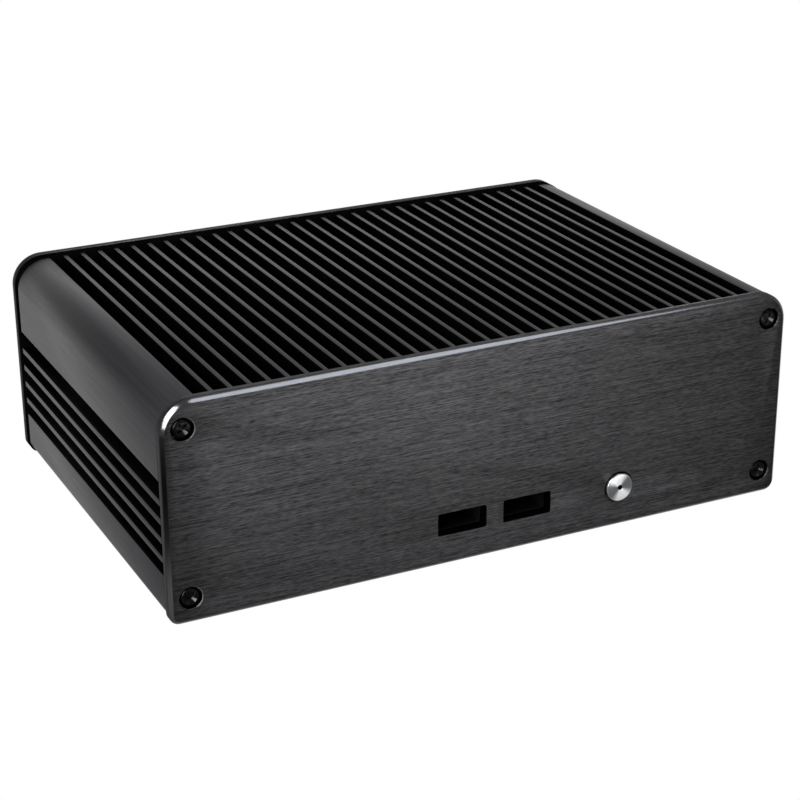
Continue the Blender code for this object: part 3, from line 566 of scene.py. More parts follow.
@dataclass(frozen=True)
class BrushedAnodised(Finish):
    """Aluminium brushed in one direction, then anodised and dyed black.

    The brush lines stay under the dye, so the eye sees short fine streaks and a highlight that
    spreads across them.
    """

    grain: Grain = Grain.X
    line_mm: float = 0.3        # real brush lines are finer; this is the finest that shows
    line_ratios: tuple[float, float, float] = (0.8, 1.3, 1.0)
    lengths_mm: tuple[float, float, float] = (2.0, 8.0, 36.0)
    scratch_share: float = 0.45
    band_share: float = 0.3
    light_colour: str = "#5a595a"
    contrast: float = 0.078
    streak: float = 0.05
    bump_mm: float = 0.002
    anisotropy: float = 0.9
    ends_mm: tuple[float, float] = (0.0, 0.0)
    end_shade: float = 0.5

    def streaks(self, tree: bpy.types.NodeTree, thick: float,
                length: float) -> bpy.types.NodeSocket:
        """Noise drawn out along the brush direction.

        Args:
            tree: Node tree of the material.
            thick: Thickness of one streak and its gap, in millimetres.
            length: Length of one streak, in millimetres.

        Returns:
            Socket that holds the streaks' height.
        """
        scale = [1 / (thick * MM)] * 3
        scale[self.grain.value] = 1 / (length * MM)
        return self.noise(tree, self.coordinates(tree, tuple(scale)), 3.0, 0.6)

    def shaded_ends(self, tree: bpy.types.NodeTree,
                    colour: bpy.types.NodeSocket) -> bpy.types.NodeSocket:
        """Darken the colour towards the two ends of a plate.

        Args:
            tree: Node tree of the material.
            colour: Colour of the brushed face.

        Returns:
            Socket with the darkened colour.
        """
        place = add_node(tree, "ShaderNodeTexCoord")
        axes = add_node(tree, "ShaderNodeSeparateXYZ", None, {0: place.outputs["Object"]})
        side = add_node(tree, "ShaderNodeMath", {"operation": "ABSOLUTE"},
                        {0: axes.outputs["X"]})
        start, end = self.ends_mm
        fade = add_node(tree, "ShaderNodeMapRange",
                        {"From Min": start * MM, "From Max": end * MM, "To Min": 1.0,
                         "To Max": self.end_shade}, {"Value": side.outputs[0]})
        shaded = add_node(tree, "ShaderNodeVectorMath", {"operation": "SCALE"},
                          {0: colour, "Scale": fade.outputs["Result"]})
        return shaded.outputs["Vector"]

    def texture(self, tree: bpy.types.NodeTree, shader: bpy.types.Node) -> None:
        """Streaks that shift colour, roughness and height along the brush direction.

        Args:
            tree: Node tree of the material.
            shader: Its surface shader.
        """
        fine, scratch, band = (self.streaks(tree, ratio * self.line_mm, length)
                               for ratio, length in zip(self.line_ratios, self.lengths_mm))
        pair = add_node(tree, "ShaderNodeMix",
                        {"data_type": "FLOAT", "Factor": self.scratch_share},
                        {"A": fine, "B": scratch})
        both = add_node(tree, "ShaderNodeMix", {"data_type": "FLOAT", "Factor": self.band_share},
                        {"A": pair.outputs["Result"], "B": band})
        ramp = add_node(tree, "ShaderNodeValToRGB", None, {"Fac": both.outputs["Result"]})
        low, high = ramp.color_ramp.elements
        low.color, low.position = linear(self.colour), 0.5 - self.contrast
        high.color, high.position = linear(self.light_colour), 0.5 + self.contrast
        colour = ramp.outputs["Color"]
        if self.ends_mm[1]:
            colour = self.shaded_ends(tree, colour)
        tree.links.new(colour, shader.inputs["Base Color"])
        rough = self.spread(tree, fine, self.roughness + self.streak,
                            self.roughness - self.streak)
        tree.links.new(rough, shader.inputs["Roughness"])
        bump = add_node(tree, "ShaderNodeBump", {"Distance": self.bump_mm * MM, "Strength": 1.0},
                        {"Height": fine})
        tree.links.new(bump.outputs["Normal"], shader.inputs["Normal"])
        shader.inputs["Anisotropic"].default_value = self.anisotropy
        around = Grain.Z if self.grain is Grain.X else Grain.Y
        tangent = add_node(tree, "ShaderNodeTangent",
                           {"direction_type": "RADIAL", "axis": around.name})
        tree.links.new(tangent.outputs["Tangent"], shader.inputs["Tangent"])
        if self.grain is Grain.X:
            shader.inputs["Anisotropic Rotation"].default_value = QUARTER_TURN


@dataclass(frozen=True)
class Speckled(Finish):
    """Surface with an even fine texture, such as moulded plastic, rubber or powder coat."""

    light_colour: str = "#202021"
    grit_mm: float = 0.3
    bump_mm: float = 0.02
    wear: float = 0.06
    patch_mm: float = 9.0

    def texture(self, tree: bpy.types.NodeTree, shader: bpy.types.Node) -> None:
        """Grit in the height, soft patches in the colour and the roughness.

        Args:
            tree: Node tree of the material.
            shader: Its surface shader.
        """
        grit, patches = (self.noise(tree, self.coordinates(tree, (1 / (size * MM),) * 3), 3.0)
                         for size in (self.grit_mm, self.patch_mm))
        colour = self.tint(tree, patches, self.colour, self.light_colour)
        tree.links.new(colour, shader.inputs["Base Color"])
        rough = self.spread(tree, patches, self.roughness - self.wear,
                            self.roughness + self.wear)
        tree.links.new(rough, shader.inputs["Roughness"])
        bump = add_node(tree, "ShaderNodeBump", {"Distance": self.bump_mm * MM, "Strength": 0.5},
                        {"Height": grit})
        tree.links.new(bump.outputs["Normal"], shader.inputs["Normal"])


@dataclass(frozen=True)
class TurnedMetal(Finish):
    """Metal faced on a lathe: concentric tool marks and two opposite fans of painted sheen."""

    light_colour: str = "#f6f6f7"
    centre: Point = (0.0, 0.0, 0.0)
    pitch_mm: float = 0.16
    bump_mm: float = 0.002
    ring_share: float = 0.12
    fan_turn: float = 106.0
    fan_edge: float = 0.75
    anisotropy: float = 0.45

    def fans(self, tree: bpy.types.NodeTree, place: bpy.types.NodeSocket) -> bpy.types.NodeSocket:
        """Two soft opposite sectors of painted sheen about the Y axis.

        Args:
            tree: Node tree of the material.
            place: Coordinates measured from the centre of the face.

        Returns:
            Socket that runs from 0 between the fans to 1 in their middles.
        """
        axes = add_node(tree, "ShaderNodeSeparateXYZ", None, {0: place})
        turn = add_node(tree, "ShaderNodeMath", {"operation": "ARCTAN2"},
                        {0: axes.outputs["Z"], 1: axes.outputs["X"]})
        double = add_node(tree, "ShaderNodeMath",
                          {"operation": "MULTIPLY_ADD", 1: 2.0,
                           2: -2 * math.radians(self.fan_turn)}, {0: turn.outputs[0]})
        wave = add_node(tree, "ShaderNodeMath", {"operation": "COSINE"}, {0: double.outputs[0]})
        fan = add_node(tree, "ShaderNodeMapRange",
                       {"interpolation_type": "SMOOTHSTEP", "From Min": -self.fan_edge,
                        "From Max": self.fan_edge},
                       {"Value": wave.outputs[0]})
        return fan.outputs["Result"]

    def texture(self, tree: bpy.types.NodeTree, shader: bpy.types.Node) -> None:
        """Rings about the Y axis through the piece's own centre, and the fans of painted sheen
        over them.

        Args:
            tree: Node tree of the material.
            shader: Its surface shader.
        """
        place = add_node(tree, "ShaderNodeTexCoord")
        centred = add_node(tree, "ShaderNodeMapping",
                           {"Location": tuple(-c for c in self.centre)},
                           {"Vector": place.outputs["Object"]})
        rings = add_node(tree, "ShaderNodeTexWave",
                         {"wave_type": "RINGS", "rings_direction": "Y", "Distortion": 0.0,
                          "Scale": math.pi / (10 * self.pitch_mm * MM)},
                         {"Vector": centred.outputs["Vector"]})
        marks = rings.outputs["Fac"]
        # painted sheen: the fans lighten the base colour in two opposite sectors
        mixed = add_node(tree, "ShaderNodeMix", {"data_type": "FLOAT", "Factor": self.ring_share},
                         {"A": self.fans(tree, centred.outputs["Vector"]), "B": marks})
        ramp = add_node(tree, "ShaderNodeValToRGB", None, {"Fac": mixed.outputs["Result"]})
        ramp.color_ramp.elements[0].color = linear(self.colour)
        ramp.color_ramp.elements[1].color = linear(self.light_colour)
        tree.links.new(ramp.outputs["Color"], shader.inputs["Base Color"])
        bump = add_node(tree, "ShaderNodeBump", {"Distance": self.bump_mm * MM, "Strength": 1.0},
                        {"Height": marks})
        tree.links.new(bump.outputs["Normal"], shader.inputs["Normal"])
        shader.inputs["Anisotropic"].default_value = self.anisotropy
        shader.inputs["Anisotropic Rotation"].default_value = QUARTER_TURN
        tangent = add_node(tree, "ShaderNodeTangent", {"direction_type": "RADIAL", "axis": "Y"})
        tree.links.new(tangent.outputs["Tangent"], shader.inputs["Tangent"])


# Brushed, then anodised: short streaks, and a highlight fanned up and down.
PLATE_METAL = BrushedAnodised("aluminium_brushed_anodised_black", "#2f2e2f", 0.5, 1.0,
                              light_colour="#565556", ends_mm=(75.0, 88.0))
# Cut after brushing, then anodised: a clean facet that mirrors the lamps.
CHAMFER_METAL = BrushedAnodised(
    "aluminium_milled_anodised_black", "#464647", 0.14, 1.0, line_mm=0.2,
    lengths_mm=(1.0, 3.0, 6.0), light_colour="#4c4c4d", streak=0.02, bump_mm=0.001,
    anisotropy=0.2)
# Extruded, etched and anodised: an even satin with faint die lines.
SHELL_METAL = BrushedAnodised(
    "aluminium_extruded_anodised_black", "#47474a", 0.3, 1.0, grain=Grain.Y, line_mm=0.7,
    lengths_mm=(20.0, 60.0, 120.0), light_colour="#4f4f52", streak=0.03, anisotropy=0.3)
# Walls and floors of the slots and other recesses: the shell's finish painted nearly black, as
# painted shade.
PAINTED_SHADE_METAL = replace(SHELL_METAL, name="aluminium_extruded_anodised_painted_shade",
                     colour="#141415", light_colour="#1a1a1b", roughness=0.34)
# Blackened in an oxide bath: dark, smooth and slightly oily, with small hard highlights.
SCREW_STEEL = Speckled("steel_black_oxide", "#131314", 0.25, 1.0, light_colour="#1c1c1d",
                       grit_mm=0.15, bump_mm=0.004)
# Side of the button, left as the tool cut it: smooth enough to carry a thin hard glint.
TURNED_SIDE = Speckled("aluminium_turned_side", "#9c9da0", 0.24, 1.0, light_colour="#a3a4a6",
                       grit_mm=0.2, bump_mm=0.001)
# Walls of the recess, where the driver has rubbed the oxide: small glints in a black head.
WORN_STEEL = Speckled("steel_black_oxide_rubbed", "#1e1e1f", 0.42, 1.0, light_colour="#3a3a3b",
                      grit_mm=0.1, bump_mm=0.004)
# Powder coat on sheet: an even satin black with a fine pebble.
SHEET_STEEL = Speckled("steel_powder_coated_black", "#1b1b1c", 0.5, 0.0, grit_mm=0.25)
# Moulded in an etched tool: dull black with a soft sheen.
FRAME_PLASTIC = Speckled("abs_moulded_black", "#0e0e0f", 0.55, 0.0, light_colour="#141415")
# Frame between the shell and the rear plate: near-black with no specular, partly its own black and
# partly painted shade of the gap, so it reads as a black line between the metals.
SHADED_GAP_FRAME = Speckled("frame_black_painted_gap_shade", "#020202", 1.0, 0.0, specular=0.0,
                       light_colour="#040404", grit_mm=0.25, bump_mm=0.03)
# Sockets behind the front: a black coat with almost no specular, partly their own black and partly
# painted shade that keeps their mouths dark.
SHADED_MOUTH_STEEL = Speckled("steel_black_painted_mouth_shade", "#020202", 0.8, 0.0, specular=0.03,
                           light_colour="#060606", grit_mm=0.5, bump_mm=0.002)
# Glass-filled and moulded: black, with little gloss.
SOCKET_PLASTIC = Speckled("pbt_moulded_black", "#070707", 0.5, 0.0, specular=0.3,
                          light_colour="#0b0b0b", grit_mm=0.2, bump_mm=0.01)
# Moulded rubber: matt and slightly dusty.
FOOT_RUBBER = Speckled("rubber_moulded_black", "#161616", 0.85, 0.0, grit_mm=0.4, bump_mm=0.05)
# Plated after folding: a warm silver with soft mirror patches.
NICKEL = Speckled("steel_nickel_plated", "#9c9b97", 0.28, 1.0, light_colour="#b4b3ae",
                  grit_mm=0.6, bump_mm=0.003)
# Printed mask over laminate: green, half glossy, mottled by the copper under it.
BOARD_MASK = Speckled("laminate_solder_mask_green", "#0f3d22", 0.4, 0.0, light_colour="#16502e",
                      grit_mm=0.5, bump_mm=0.01)
# Cut on a lathe and left bare: yellow, with a thin tarnish.
BRASS = Speckled("brass_turned", "#b08d4a", 0.3, 1.0, light_colour="#c6a35c", grit_mm=0.3,
                 bump_mm=0.003)
# Polished die and moulded package: a dark blue-grey mirror.
SILICON = Speckled("silicon_polished", "#3b3d44", 0.18, 0.6, light_colour="#4a4c55",
                   grit_mm=2.0, bump_mm=0.002)
# Filled silicone, cast in a sheet: chalky blue-grey.
PAD_SILICONE = Speckled("silicone_thermal_grey", "#7b8796", 0.8, 0.0, light_colour="#8b97a6")
# Milled and left bare: pale, with cutter patches.
BLOCK_ALUMINIUM = Speckled("aluminium_milled", "#b9babc", 0.35, 1.0, light_colour="#cbccce",
                           grit_mm=0.8, bump_mm=0.004)
# Tinted acrylic over unlit lamps: clear colour under a glossy skin.
LAMP_GREEN = Speckled("acrylic_tinted_green", "#2f5a35", 0.25, 0.0, light_colour="#3b6b41",
                      grit_mm=0.5, bump_mm=0.004)
LAMP_AMBER = Speckled("acrylic_tinted_amber", "#8a6420", 0.25, 0.0, light_colour="#9c742b",
                      grit_mm=0.5, bump_mm=0.004)
# Smoked acrylic rod: black until the lamp behind it is lit.
ACRYLIC = Speckled("acrylic_moulded_smoked", "#0c0d0e", 0.3, 0.0, light_colour="#141617",
                   grit_mm=1.0, bump_mm=0.002)


def dress(obj: bpy.types.Object, finish: Finish) -> None:
    """Put one finish on a piece, and nothing else."""
    obj.data.materials.clear()
    obj.data.materials.append(finish.material())


def dress_faces(obj: bpy.types.Object, finish: Finish,
                test: Callable[[bpy.types.MeshPolygon], bool]) -> None:
    """Put a second finish on the faces that pass a test.

    Args:
        obj: Piece that already has its main finish.
        finish: Finish of the chosen faces.
        test: Takes a face of the mesh.
    """
    obj.data.materials.append(finish.material())
    index = len(obj.data.materials) - 1
    for face in obj.data.polygons:
        if test(face):
            face.material_index = index


def depth_in_outline(point: Vector, low: Vector, high: Vector, top_radius: float,
                     low_radius: float) -> float:
    """Depth of a point below the rounded outline that the shell and the plates share.

    Args:
        point: Point of the piece.
        low: Lowest corner of the piece.
        high: Highest corner of the piece.
        top_radius: Radius of the two upper corners.
        low_radius: Radius of the two lower corners.

    Returns:
        Shortest way to the outline, seen along Y.
    """
    side, top, foot = high.x - abs(point.x), high.z - point.z, point.z - low.z
    if side < top_radius and top < top_radius:
        return top_radius - math.hypot(top_radius - side, top_radius - top)
    if side < low_radius and foot < low_radius:
        return low_radius - math.hypot(low_radius - side, low_radius - foot)
    return min(side, top, foot)


def hand_over(obj: bpy.types.Object, body: str, slot: str, *nodes: str) -> None:
    """Let a piece ride on its body and stand for its CAD nodes.

    Args:
        obj: Finished piece.
        body: CAD body that it moves with.
        slot: Material slot of the record; not used.
        nodes: CAD nodes that it stands for.
    """
    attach(obj, body)
    if nodes:
        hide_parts(*nodes)
    LOG.info("%s rides on %s and stands for %s", obj.name, body, ", ".join(nodes) or "nothing")


# ------------------------------------------------------------------ heatsink shell

@dataclass
class HeatsinkShell:
    """Extruded aluminium body with fins on top and in both sides."""

    fin_half_count: int = 15
    fin_pitch: float = 4.92 * MM
    fin_thick: float = 1.23 * MM
    fin_depth: float = 9.0 * MM
    field_edge: float = 78.35 * MM
    top_radius: float = 8.5 * MM
    low_radius: float = 2.6 * MM
    side_depth: float = 4.5 * MM
    side_top: float = 39.4 * MM
    side_low: float = 14.45 * MM
    side_fin_low: float = 17.96 * MM
    side_pitch: float = 4.99 * MM
    side_thick: float = 1.55 * MM
    side_fins: int = 4
    wall_inner: float = 80.5 * MM
    ceiling: float = 46.5 * MM
    rail_inner: float = 75.5 * MM
    rail_top: float = 14.9 * MM
    seat_half: float = 80.3 * MM
    seat_top: float = 5.1 * MM
    port_x: float = 82.5 * MM
    port_z: tuple[float, float] = (8.8 * MM, 52.8 * MM)
    port_radius: float = 1.7 * MM
    edge_break: float = 0.15 * MM
    over: float = 2.0 * MM
    floor_round: float = 0.4 * MM
    ceiling_round: float = 2.0 * MM
    skin: float = 0.375 * MM
    low: Vector = field(default_factory=Vector)
    high: Vector = field(default_factory=Vector)

    def channel(self, left: float, right: float, foot: float, top: float) -> bpy.types.Object:
        """Block that cuts one channel, run past both ends of the shell.

        Args:
            left: Lowest X of the channel.
            right: Highest X of the channel.
            foot: Lowest Z of the channel.
            top: Highest Z of the channel.

        Returns:
            The cutter.
        """
        return add_cube("channel", (left, self.low.y - self.over, foot),
                        (right, self.high.y + self.over, top))

    def top_slots(self) -> bpy.types.Object:
        """Make all the slots between the top fins.

        Returns:
            One cutter for the whole field of slots.
        """
        floor, open_top = self.high.z - self.fin_depth, self.high.z + MM
        cutters = []
        for index in range(-self.fin_half_count, self.fin_half_count):
            left = index * self.fin_pitch + self.fin_thick / 2
            right = left + self.fin_pitch - self.fin_thick
            cutters.append(self.channel(left, right, floor, open_top))
        last = self.fin_half_count * self.fin_pitch + self.fin_thick / 2
        for left, right in ((-self.field_edge, -last), (last, self.field_edge)):
            cutters.append(self.channel(left, right, floor, open_top))
        slots = join("top_slots", cutters)
        bevel_edges(slots, lambda a, b: abs(a.z - floor) + abs(b.z - floor) < TINY
                    and abs(a.x - b.x) < TINY, self.floor_round, 3)
        return slots

    def side_slots(self) -> bpy.types.Object:
        """Make the slots between the side fins.

        Returns:
            One cutter for both sides.
        """
        cutters = []
        levels = []
        upper = self.side_top
        for index in reversed(range(self.side_fins)):
            fin_low = self.side_fin_low + index * self.side_pitch
            levels.append((fin_low + self.side_thick, upper))
            upper = fin_low
        levels.append((self.side_low, upper))
        deep, outer = self.high.x - self.side_depth, self.high.x + MM
        for bottom, top in levels:
            cutters.append(self.channel(deep, outer, bottom, top))
            cutters.append(self.channel(-outer, -deep, bottom, top))
        return join("side_slots", cutters)

    def cavities(self) -> list[bpy.types.Object]:
        """Make the board space, lower opening, base seat and the four screw ports.

        Returns:
            The cutters.
        """
        y0, y1 = self.low.y - self.over, self.high.y + self.over
        spaces = [
            self.channel(-self.wall_inner, self.wall_inner, self.rail_top, self.ceiling),
            self.channel(-self.rail_inner, self.rail_inner, 0.0, self.rail_top + MM),
            self.channel(-self.seat_half, self.seat_half, 0.0, self.seat_top),
        ]
        bevel_edges(spaces[0], lambda a, b: abs(a.x - b.x) < TINY and
                    min(a.z, b.z) > self.ceiling - TINY, self.ceiling_round, 4)
        for side in (-1, 1):
            for z in self.port_z:
                x = side * self.port_x
                spaces.append(add_rod("port", (x, y0, z), (x, y1, z), self.port_radius, 24))
        return spaces

    def build(self) -> bpy.types.Object:
        """Shape the shell from one cube.

        Returns:
            The shell.
        """
        self.low, self.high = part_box("heatsink_shell")
        shell = add_cube("finned_shell", self.low, self.high)
        round_outline(shell, self.low, self.high, (self.top_radius, self.low_radius), (24, 8))
        subtract(shell, self.top_slots(), self.side_slots(), *self.cavities())
        soften(shell, self.edge_break)
        return shell

    def in_slot(self, face: bpy.types.MeshPolygon) -> bool:
        """True for the walls and floors of the slots and of the space inside.

        Args:
            face: Face of the shell.

        Returns:
            Whether the face is one of them.
        """
        depth = depth_in_outline(face.center, self.low, self.high, self.top_radius,
                                 self.low_radius)
        return depth > self.skin and abs(face.normal.y) < 0.5

    def dress(self, shell: bpy.types.Object) -> None:
        """Anodise the shell and hand it to the case.

        Args:
            shell: The built shell.
        """
        dress(shell, SHELL_METAL)
        # painted shade: the slot walls and floors and the inside get the near-black finish
        dress_faces(shell, PAINTED_SHADE_METAL, self.in_slot)
        hand_over(shell, CASE, "black_anodised_aluminium", "heatsink_shell")


# ------------------------------------------------------------------ end plates

@dataclass
class EndPlate:
    """Brushed end plate with a chamfered outer edge, counterbored corners and cut-outs."""

    node: str
    name: str
    facing: Facing
    chamfer: float = 0.94 * MM
    top_radius: float = 8.5 * MM
    low_radius: float = 2.8 * MM
    bore_radius: float = 2.95 * MM
    bore_depth: float = 2.1 * MM
    bore_edge: float = 0.2 * MM
    hole_radius: float = 1.8 * MM
    hole_x: float = 82.5 * MM
    hole_z: tuple[float, float] = (8.8 * MM, 52.8 * MM)
    edge_break: float = 0.05 * MM
    reach: float = 5.0 * MM
    rim: float = 1.2 * MM
    slope: tuple[float, float] = (0.3, 0.95)    # steepest and flattest face of a chamfer

    @property
    def outer_y(self) -> float:
        """Depth of the plate's outer face."""
        return side_of(self.node, self.facing)[1]

    def counterbore(self, x: float, z: float) -> bpy.types.Object:
        """Cutter for one stepped screw hole.

        Args:
            x: Middle of the hole.
            z: Height of its middle.

        Returns:
            The cutter.
        """
        step = MM
        profile = [
            (self.bore_radius + self.bore_edge + step, step),
            (self.bore_radius, -self.bore_edge),
            (self.bore_radius, -self.bore_depth),
            (self.hole_radius, -self.bore_depth),
            (self.hole_radius, -self.bore_depth - 2 * step),
        ]
        return turned("counterbore", profile, 48, self.facing.place((x, self.outer_y, z)))

    def window(self, x: float, z: float, width: float, height: float,
               radius: float) -> bpy.types.Object:
        """Cutter for a rounded rectangular cut-out.

        Args:
            x: Middle of the cut-out.
            z: Height of its middle.
            width: Width of the cut-out.
            height: Height of the cut-out.
            radius: Radius of its corners.

        Returns:
            The cutter.
        """
        y = self.outer_y
        cutter = add_cube("window", (x - width / 2, y - self.reach, z - height / 2),
                          (x + width / 2, y + self.reach, z + height / 2))
        bevel_edges(cutter, runs_along_y, radius, 5)
        return cutter

    def round_hole(self, x: float, z: float, radius: float) -> bpy.types.Object:
        """Cutter for a round hole."""
        y = self.outer_y
        return add_rod("hole", (x, y - self.reach, z), (x, y + self.reach, z), radius, 64)

    def openings(self) -> list[bpy.types.Object]:
        """Cutters for the plate's own openings. The plain base has none."""
        return []

    def build(self) -> bpy.types.Object:
        """Shape the plate from one cube and cut its holes.

        Returns:
            The finished plate.
        """
        low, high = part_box(self.node)
        plate = add_cube(self.name, low, high)
        round_outline(plate, low, high, (self.top_radius, self.low_radius), (24, 10))
        y = self.outer_y
        bevel_edges(plate, lambda a, b: abs(a.y - y) + abs(b.y - y) < TINY, self.chamfer, 1)
        for side in (-1, 1):
            for z in self.hole_z:
                subtract(plate, self.counterbore(side * self.hole_x, z))
        subtract(plate, *self.openings())
        soften(plate, self.edge_break, 2, 25.0)
        return plate

    def dress(self, plate: bpy.types.Object) -> None:
        """Brush and anodise the plate and hand it to the case.

        Args:
            plate: The built plate.
        """
        dress(plate, PLATE_METAL)
        low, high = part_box(self.node)
        outline = (low, high, self.top_radius, self.low_radius)
        steep, flat = self.slope
        dress_faces(plate, CHAMFER_METAL, lambda face: steep < abs(face.normal.y) < flat
                    and depth_in_outline(face.center, *outline) < self.rim)
        # painted shade on the walls of the cut-outs and counterbores
        dress_faces(plate, PAINTED_SHADE_METAL, lambda face: abs(face.normal.y) < steep
                    and depth_in_outline(face.center, *outline) > MM)
        hand_over(plate, CASE, "black_anodised_aluminium", self.node)


@dataclass
class FrontPlate(EndPlate):
    """Front plate with two socket windows and the button's hole."""

    node: str = "front_plate"
    name: str = "front_panel"
    facing: Facing = Facing.FRONT
    window_x: tuple[float, float] = (-8.9 * MM, 9.9 * MM)
    window_z: float = 13.4 * MM
    window_size: tuple[float, float] = (13.9 * MM, 6.2 * MM)
    window_corner: float = 0.6 * MM
    button_hole: float = 4.3 * MM

    def openings(self) -> list[bpy.types.Object]:
        """Cut the windows and the hole for the button.

        Returns:
            The cutters.
        """
        cutters = [self.window(x, self.window_z, *self.window_size, self.window_corner)
                   for x in self.window_x]
        button = middle_of("power_button")
        cutters.append(self.round_hole(button.x, button.z, self.button_hole))
        return cutters


@dataclass
class RearPlate(EndPlate):
    """Rear plate with an opening round every socket and plug."""

    node: str = "rear_plate"
    name: str = "rear_panel"
    facing: Facing = Facing.REAR
    gap: float = 0.3 * MM
    corners: dict[str, float] = field(default_factory=lambda: {
        "display_shell_left": 0.8 * MM, "display_shell_right": 0.8 * MM,
        "network_socket": 0.5 * MM, "rear_usb_shell": 0.5 * MM})
    barrels: dict[str, float] = field(default_factory=lambda: {
        "dc_jack": 3.9 * MM, "antenna_plug_left": 3.2 * MM, "antenna_plug_right": 3.2 * MM})

    def openings(self) -> list[bpy.types.Object]:
        """Cut each fitting's opening a little larger than the fitting.

        Returns:
            The cutters.
        """
        cutters = []
        for node, corner in self.corners.items():
            low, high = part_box(node)
            middle, span = (low + high) / 2, high - low
            cutters.append(self.window(middle.x, middle.z, span.x + 2 * self.gap,
                                       span.z + 2 * self.gap, corner))
        for node, radius in self.barrels.items():
            middle = middle_of(node)
            cutters.append(self.round_hole(middle.x, middle.z, radius + self.gap))
        return cutters


# ------------------------------------------------------------------ screws

@dataclass
class PanScrew:
    """Black pan-head screw with a cross recess."""

    head_radius: float = 2.6 * MM
    head_height: float = 1.6 * MM
    shank_radius: float = 1.4 * MM
    wing: float = 2.05 * MM
    wing_half: float = 0.48 * MM
    recess_depth: float = 1.2 * MM
    taper: tuple[float, float] = (0.45, 0.7)    # width of the wing's foot, along and across
    crown_steps: int = 8
    crown_start: tuple[float, float] = (0.55, 0.35)
    crown_curve: float = 0.8
    tip: float = 0.5 * MM
    edge_break: float = 0.06 * MM
    sides: int = 48

    def recess(self) -> list[bpy.types.Object]:
        """Make two crossing wings, each narrower at its foot.

        Returns:
            The two cutters.
        """
        cutters = []
        top, foot = self.head_height + 0.5 * MM, self.head_height - self.recess_depth
        for swap in (1, -1):
            half_x, half_y = (self.wing, self.wing_half)[::swap]
            wing = add_cube("wing", (-half_x, -half_y, foot), (half_x, half_y, top))
            with edit(wing) as bm:
                pick(bm, wing, lambda co: co.z < foot + TINY)
                bpy.ops.transform.resize(value=(*self.taper[::swap], 1.0),
                                         center_override=(0, 0, foot))
            cutters.append(wing)
        return cutters

    def build(self, name: str, length: float) -> bpy.types.Object:
        """Turn the screw at the origin, head up.

        Args:
            name: Name of the new piece.
            length: Length of the shank in metres.

        Returns:
            The screw, with its head's underside on z = 0.
        """
        profile = [(self.head_radius * 0.3, self.head_height)]
        flat, rim = self.crown_start
        for step in range(1, self.crown_steps + 1):
            angle = math.pi / 2 * step / self.crown_steps
            profile.append((self.head_radius * (flat + (1 - flat) * math.sin(angle)),
                            self.head_height * (rim + (1 - rim)
                                                * math.cos(angle) ** self.crown_curve)))
        profile += [
            (self.head_radius, 0.0),
            (self.shank_radius, 0.0),
            (self.shank_radius, -length + self.tip),
            (self.shank_radius - self.tip, -length),
        ]
        screw = turned(name, profile, self.sides, Matrix.Identity(4))
        subtract(screw, *self.recess())
        soften(screw, self.edge_break)
        self.dress(screw)
        return screw

    def dress(self, screw: bpy.types.Object) -> None:
        """Blacken the screw, with the walls of its recess rubbed by the driver.

        Args:
            screw: Screw at the origin, head up.
        """
        foot = self.head_height - self.recess_depth
        dress(screw, SCREW_STEEL)
        dress_faces(screw, WORN_STEEL, lambda face: face.center.z > foot + 0.02 * MM
                    and math.hypot(face.center.x, face.center.y) < self.wing + 0.1 * MM
                    and abs(face.normal.z) < 0.85)


@dataclass
class PlateScrews:
    """The eight screws that hold the two end plates."""

    shank: float = 11.0 * MM
    turns: tuple[float, ...] = (40.0, 63.0, 52.0, 81.0)

    def build(self) -> None:
        """Copy one screw to every corner, each turned its own way."""
        kind = PanScrew()
        master = kind.build("plate_screw_master", self.shank)
        corners = [f"{row}_{column}" for row in ("upper", "lower") for column in ("left", "right")]
        for facing in (Facing.FRONT, Facing.REAR):
            for corner, turn in zip(corners, self.turns):
                node = f"{facing.value}_screw_{corner}"
                spin = Matrix.Rotation(math.radians(turn), 4, "Z")
                seat = Matrix.Translation((0, 0, -kind.head_height))
                screw = copy_of(master, f"{node}_turned",
                                facing.place(side_of(node, facing)) @ seat @ spin)
                hand_over(screw, CASE, "black_screw_steel", node)
        bpy.data.objects.remove(master)


# ------------------------------------------------------------------ power button

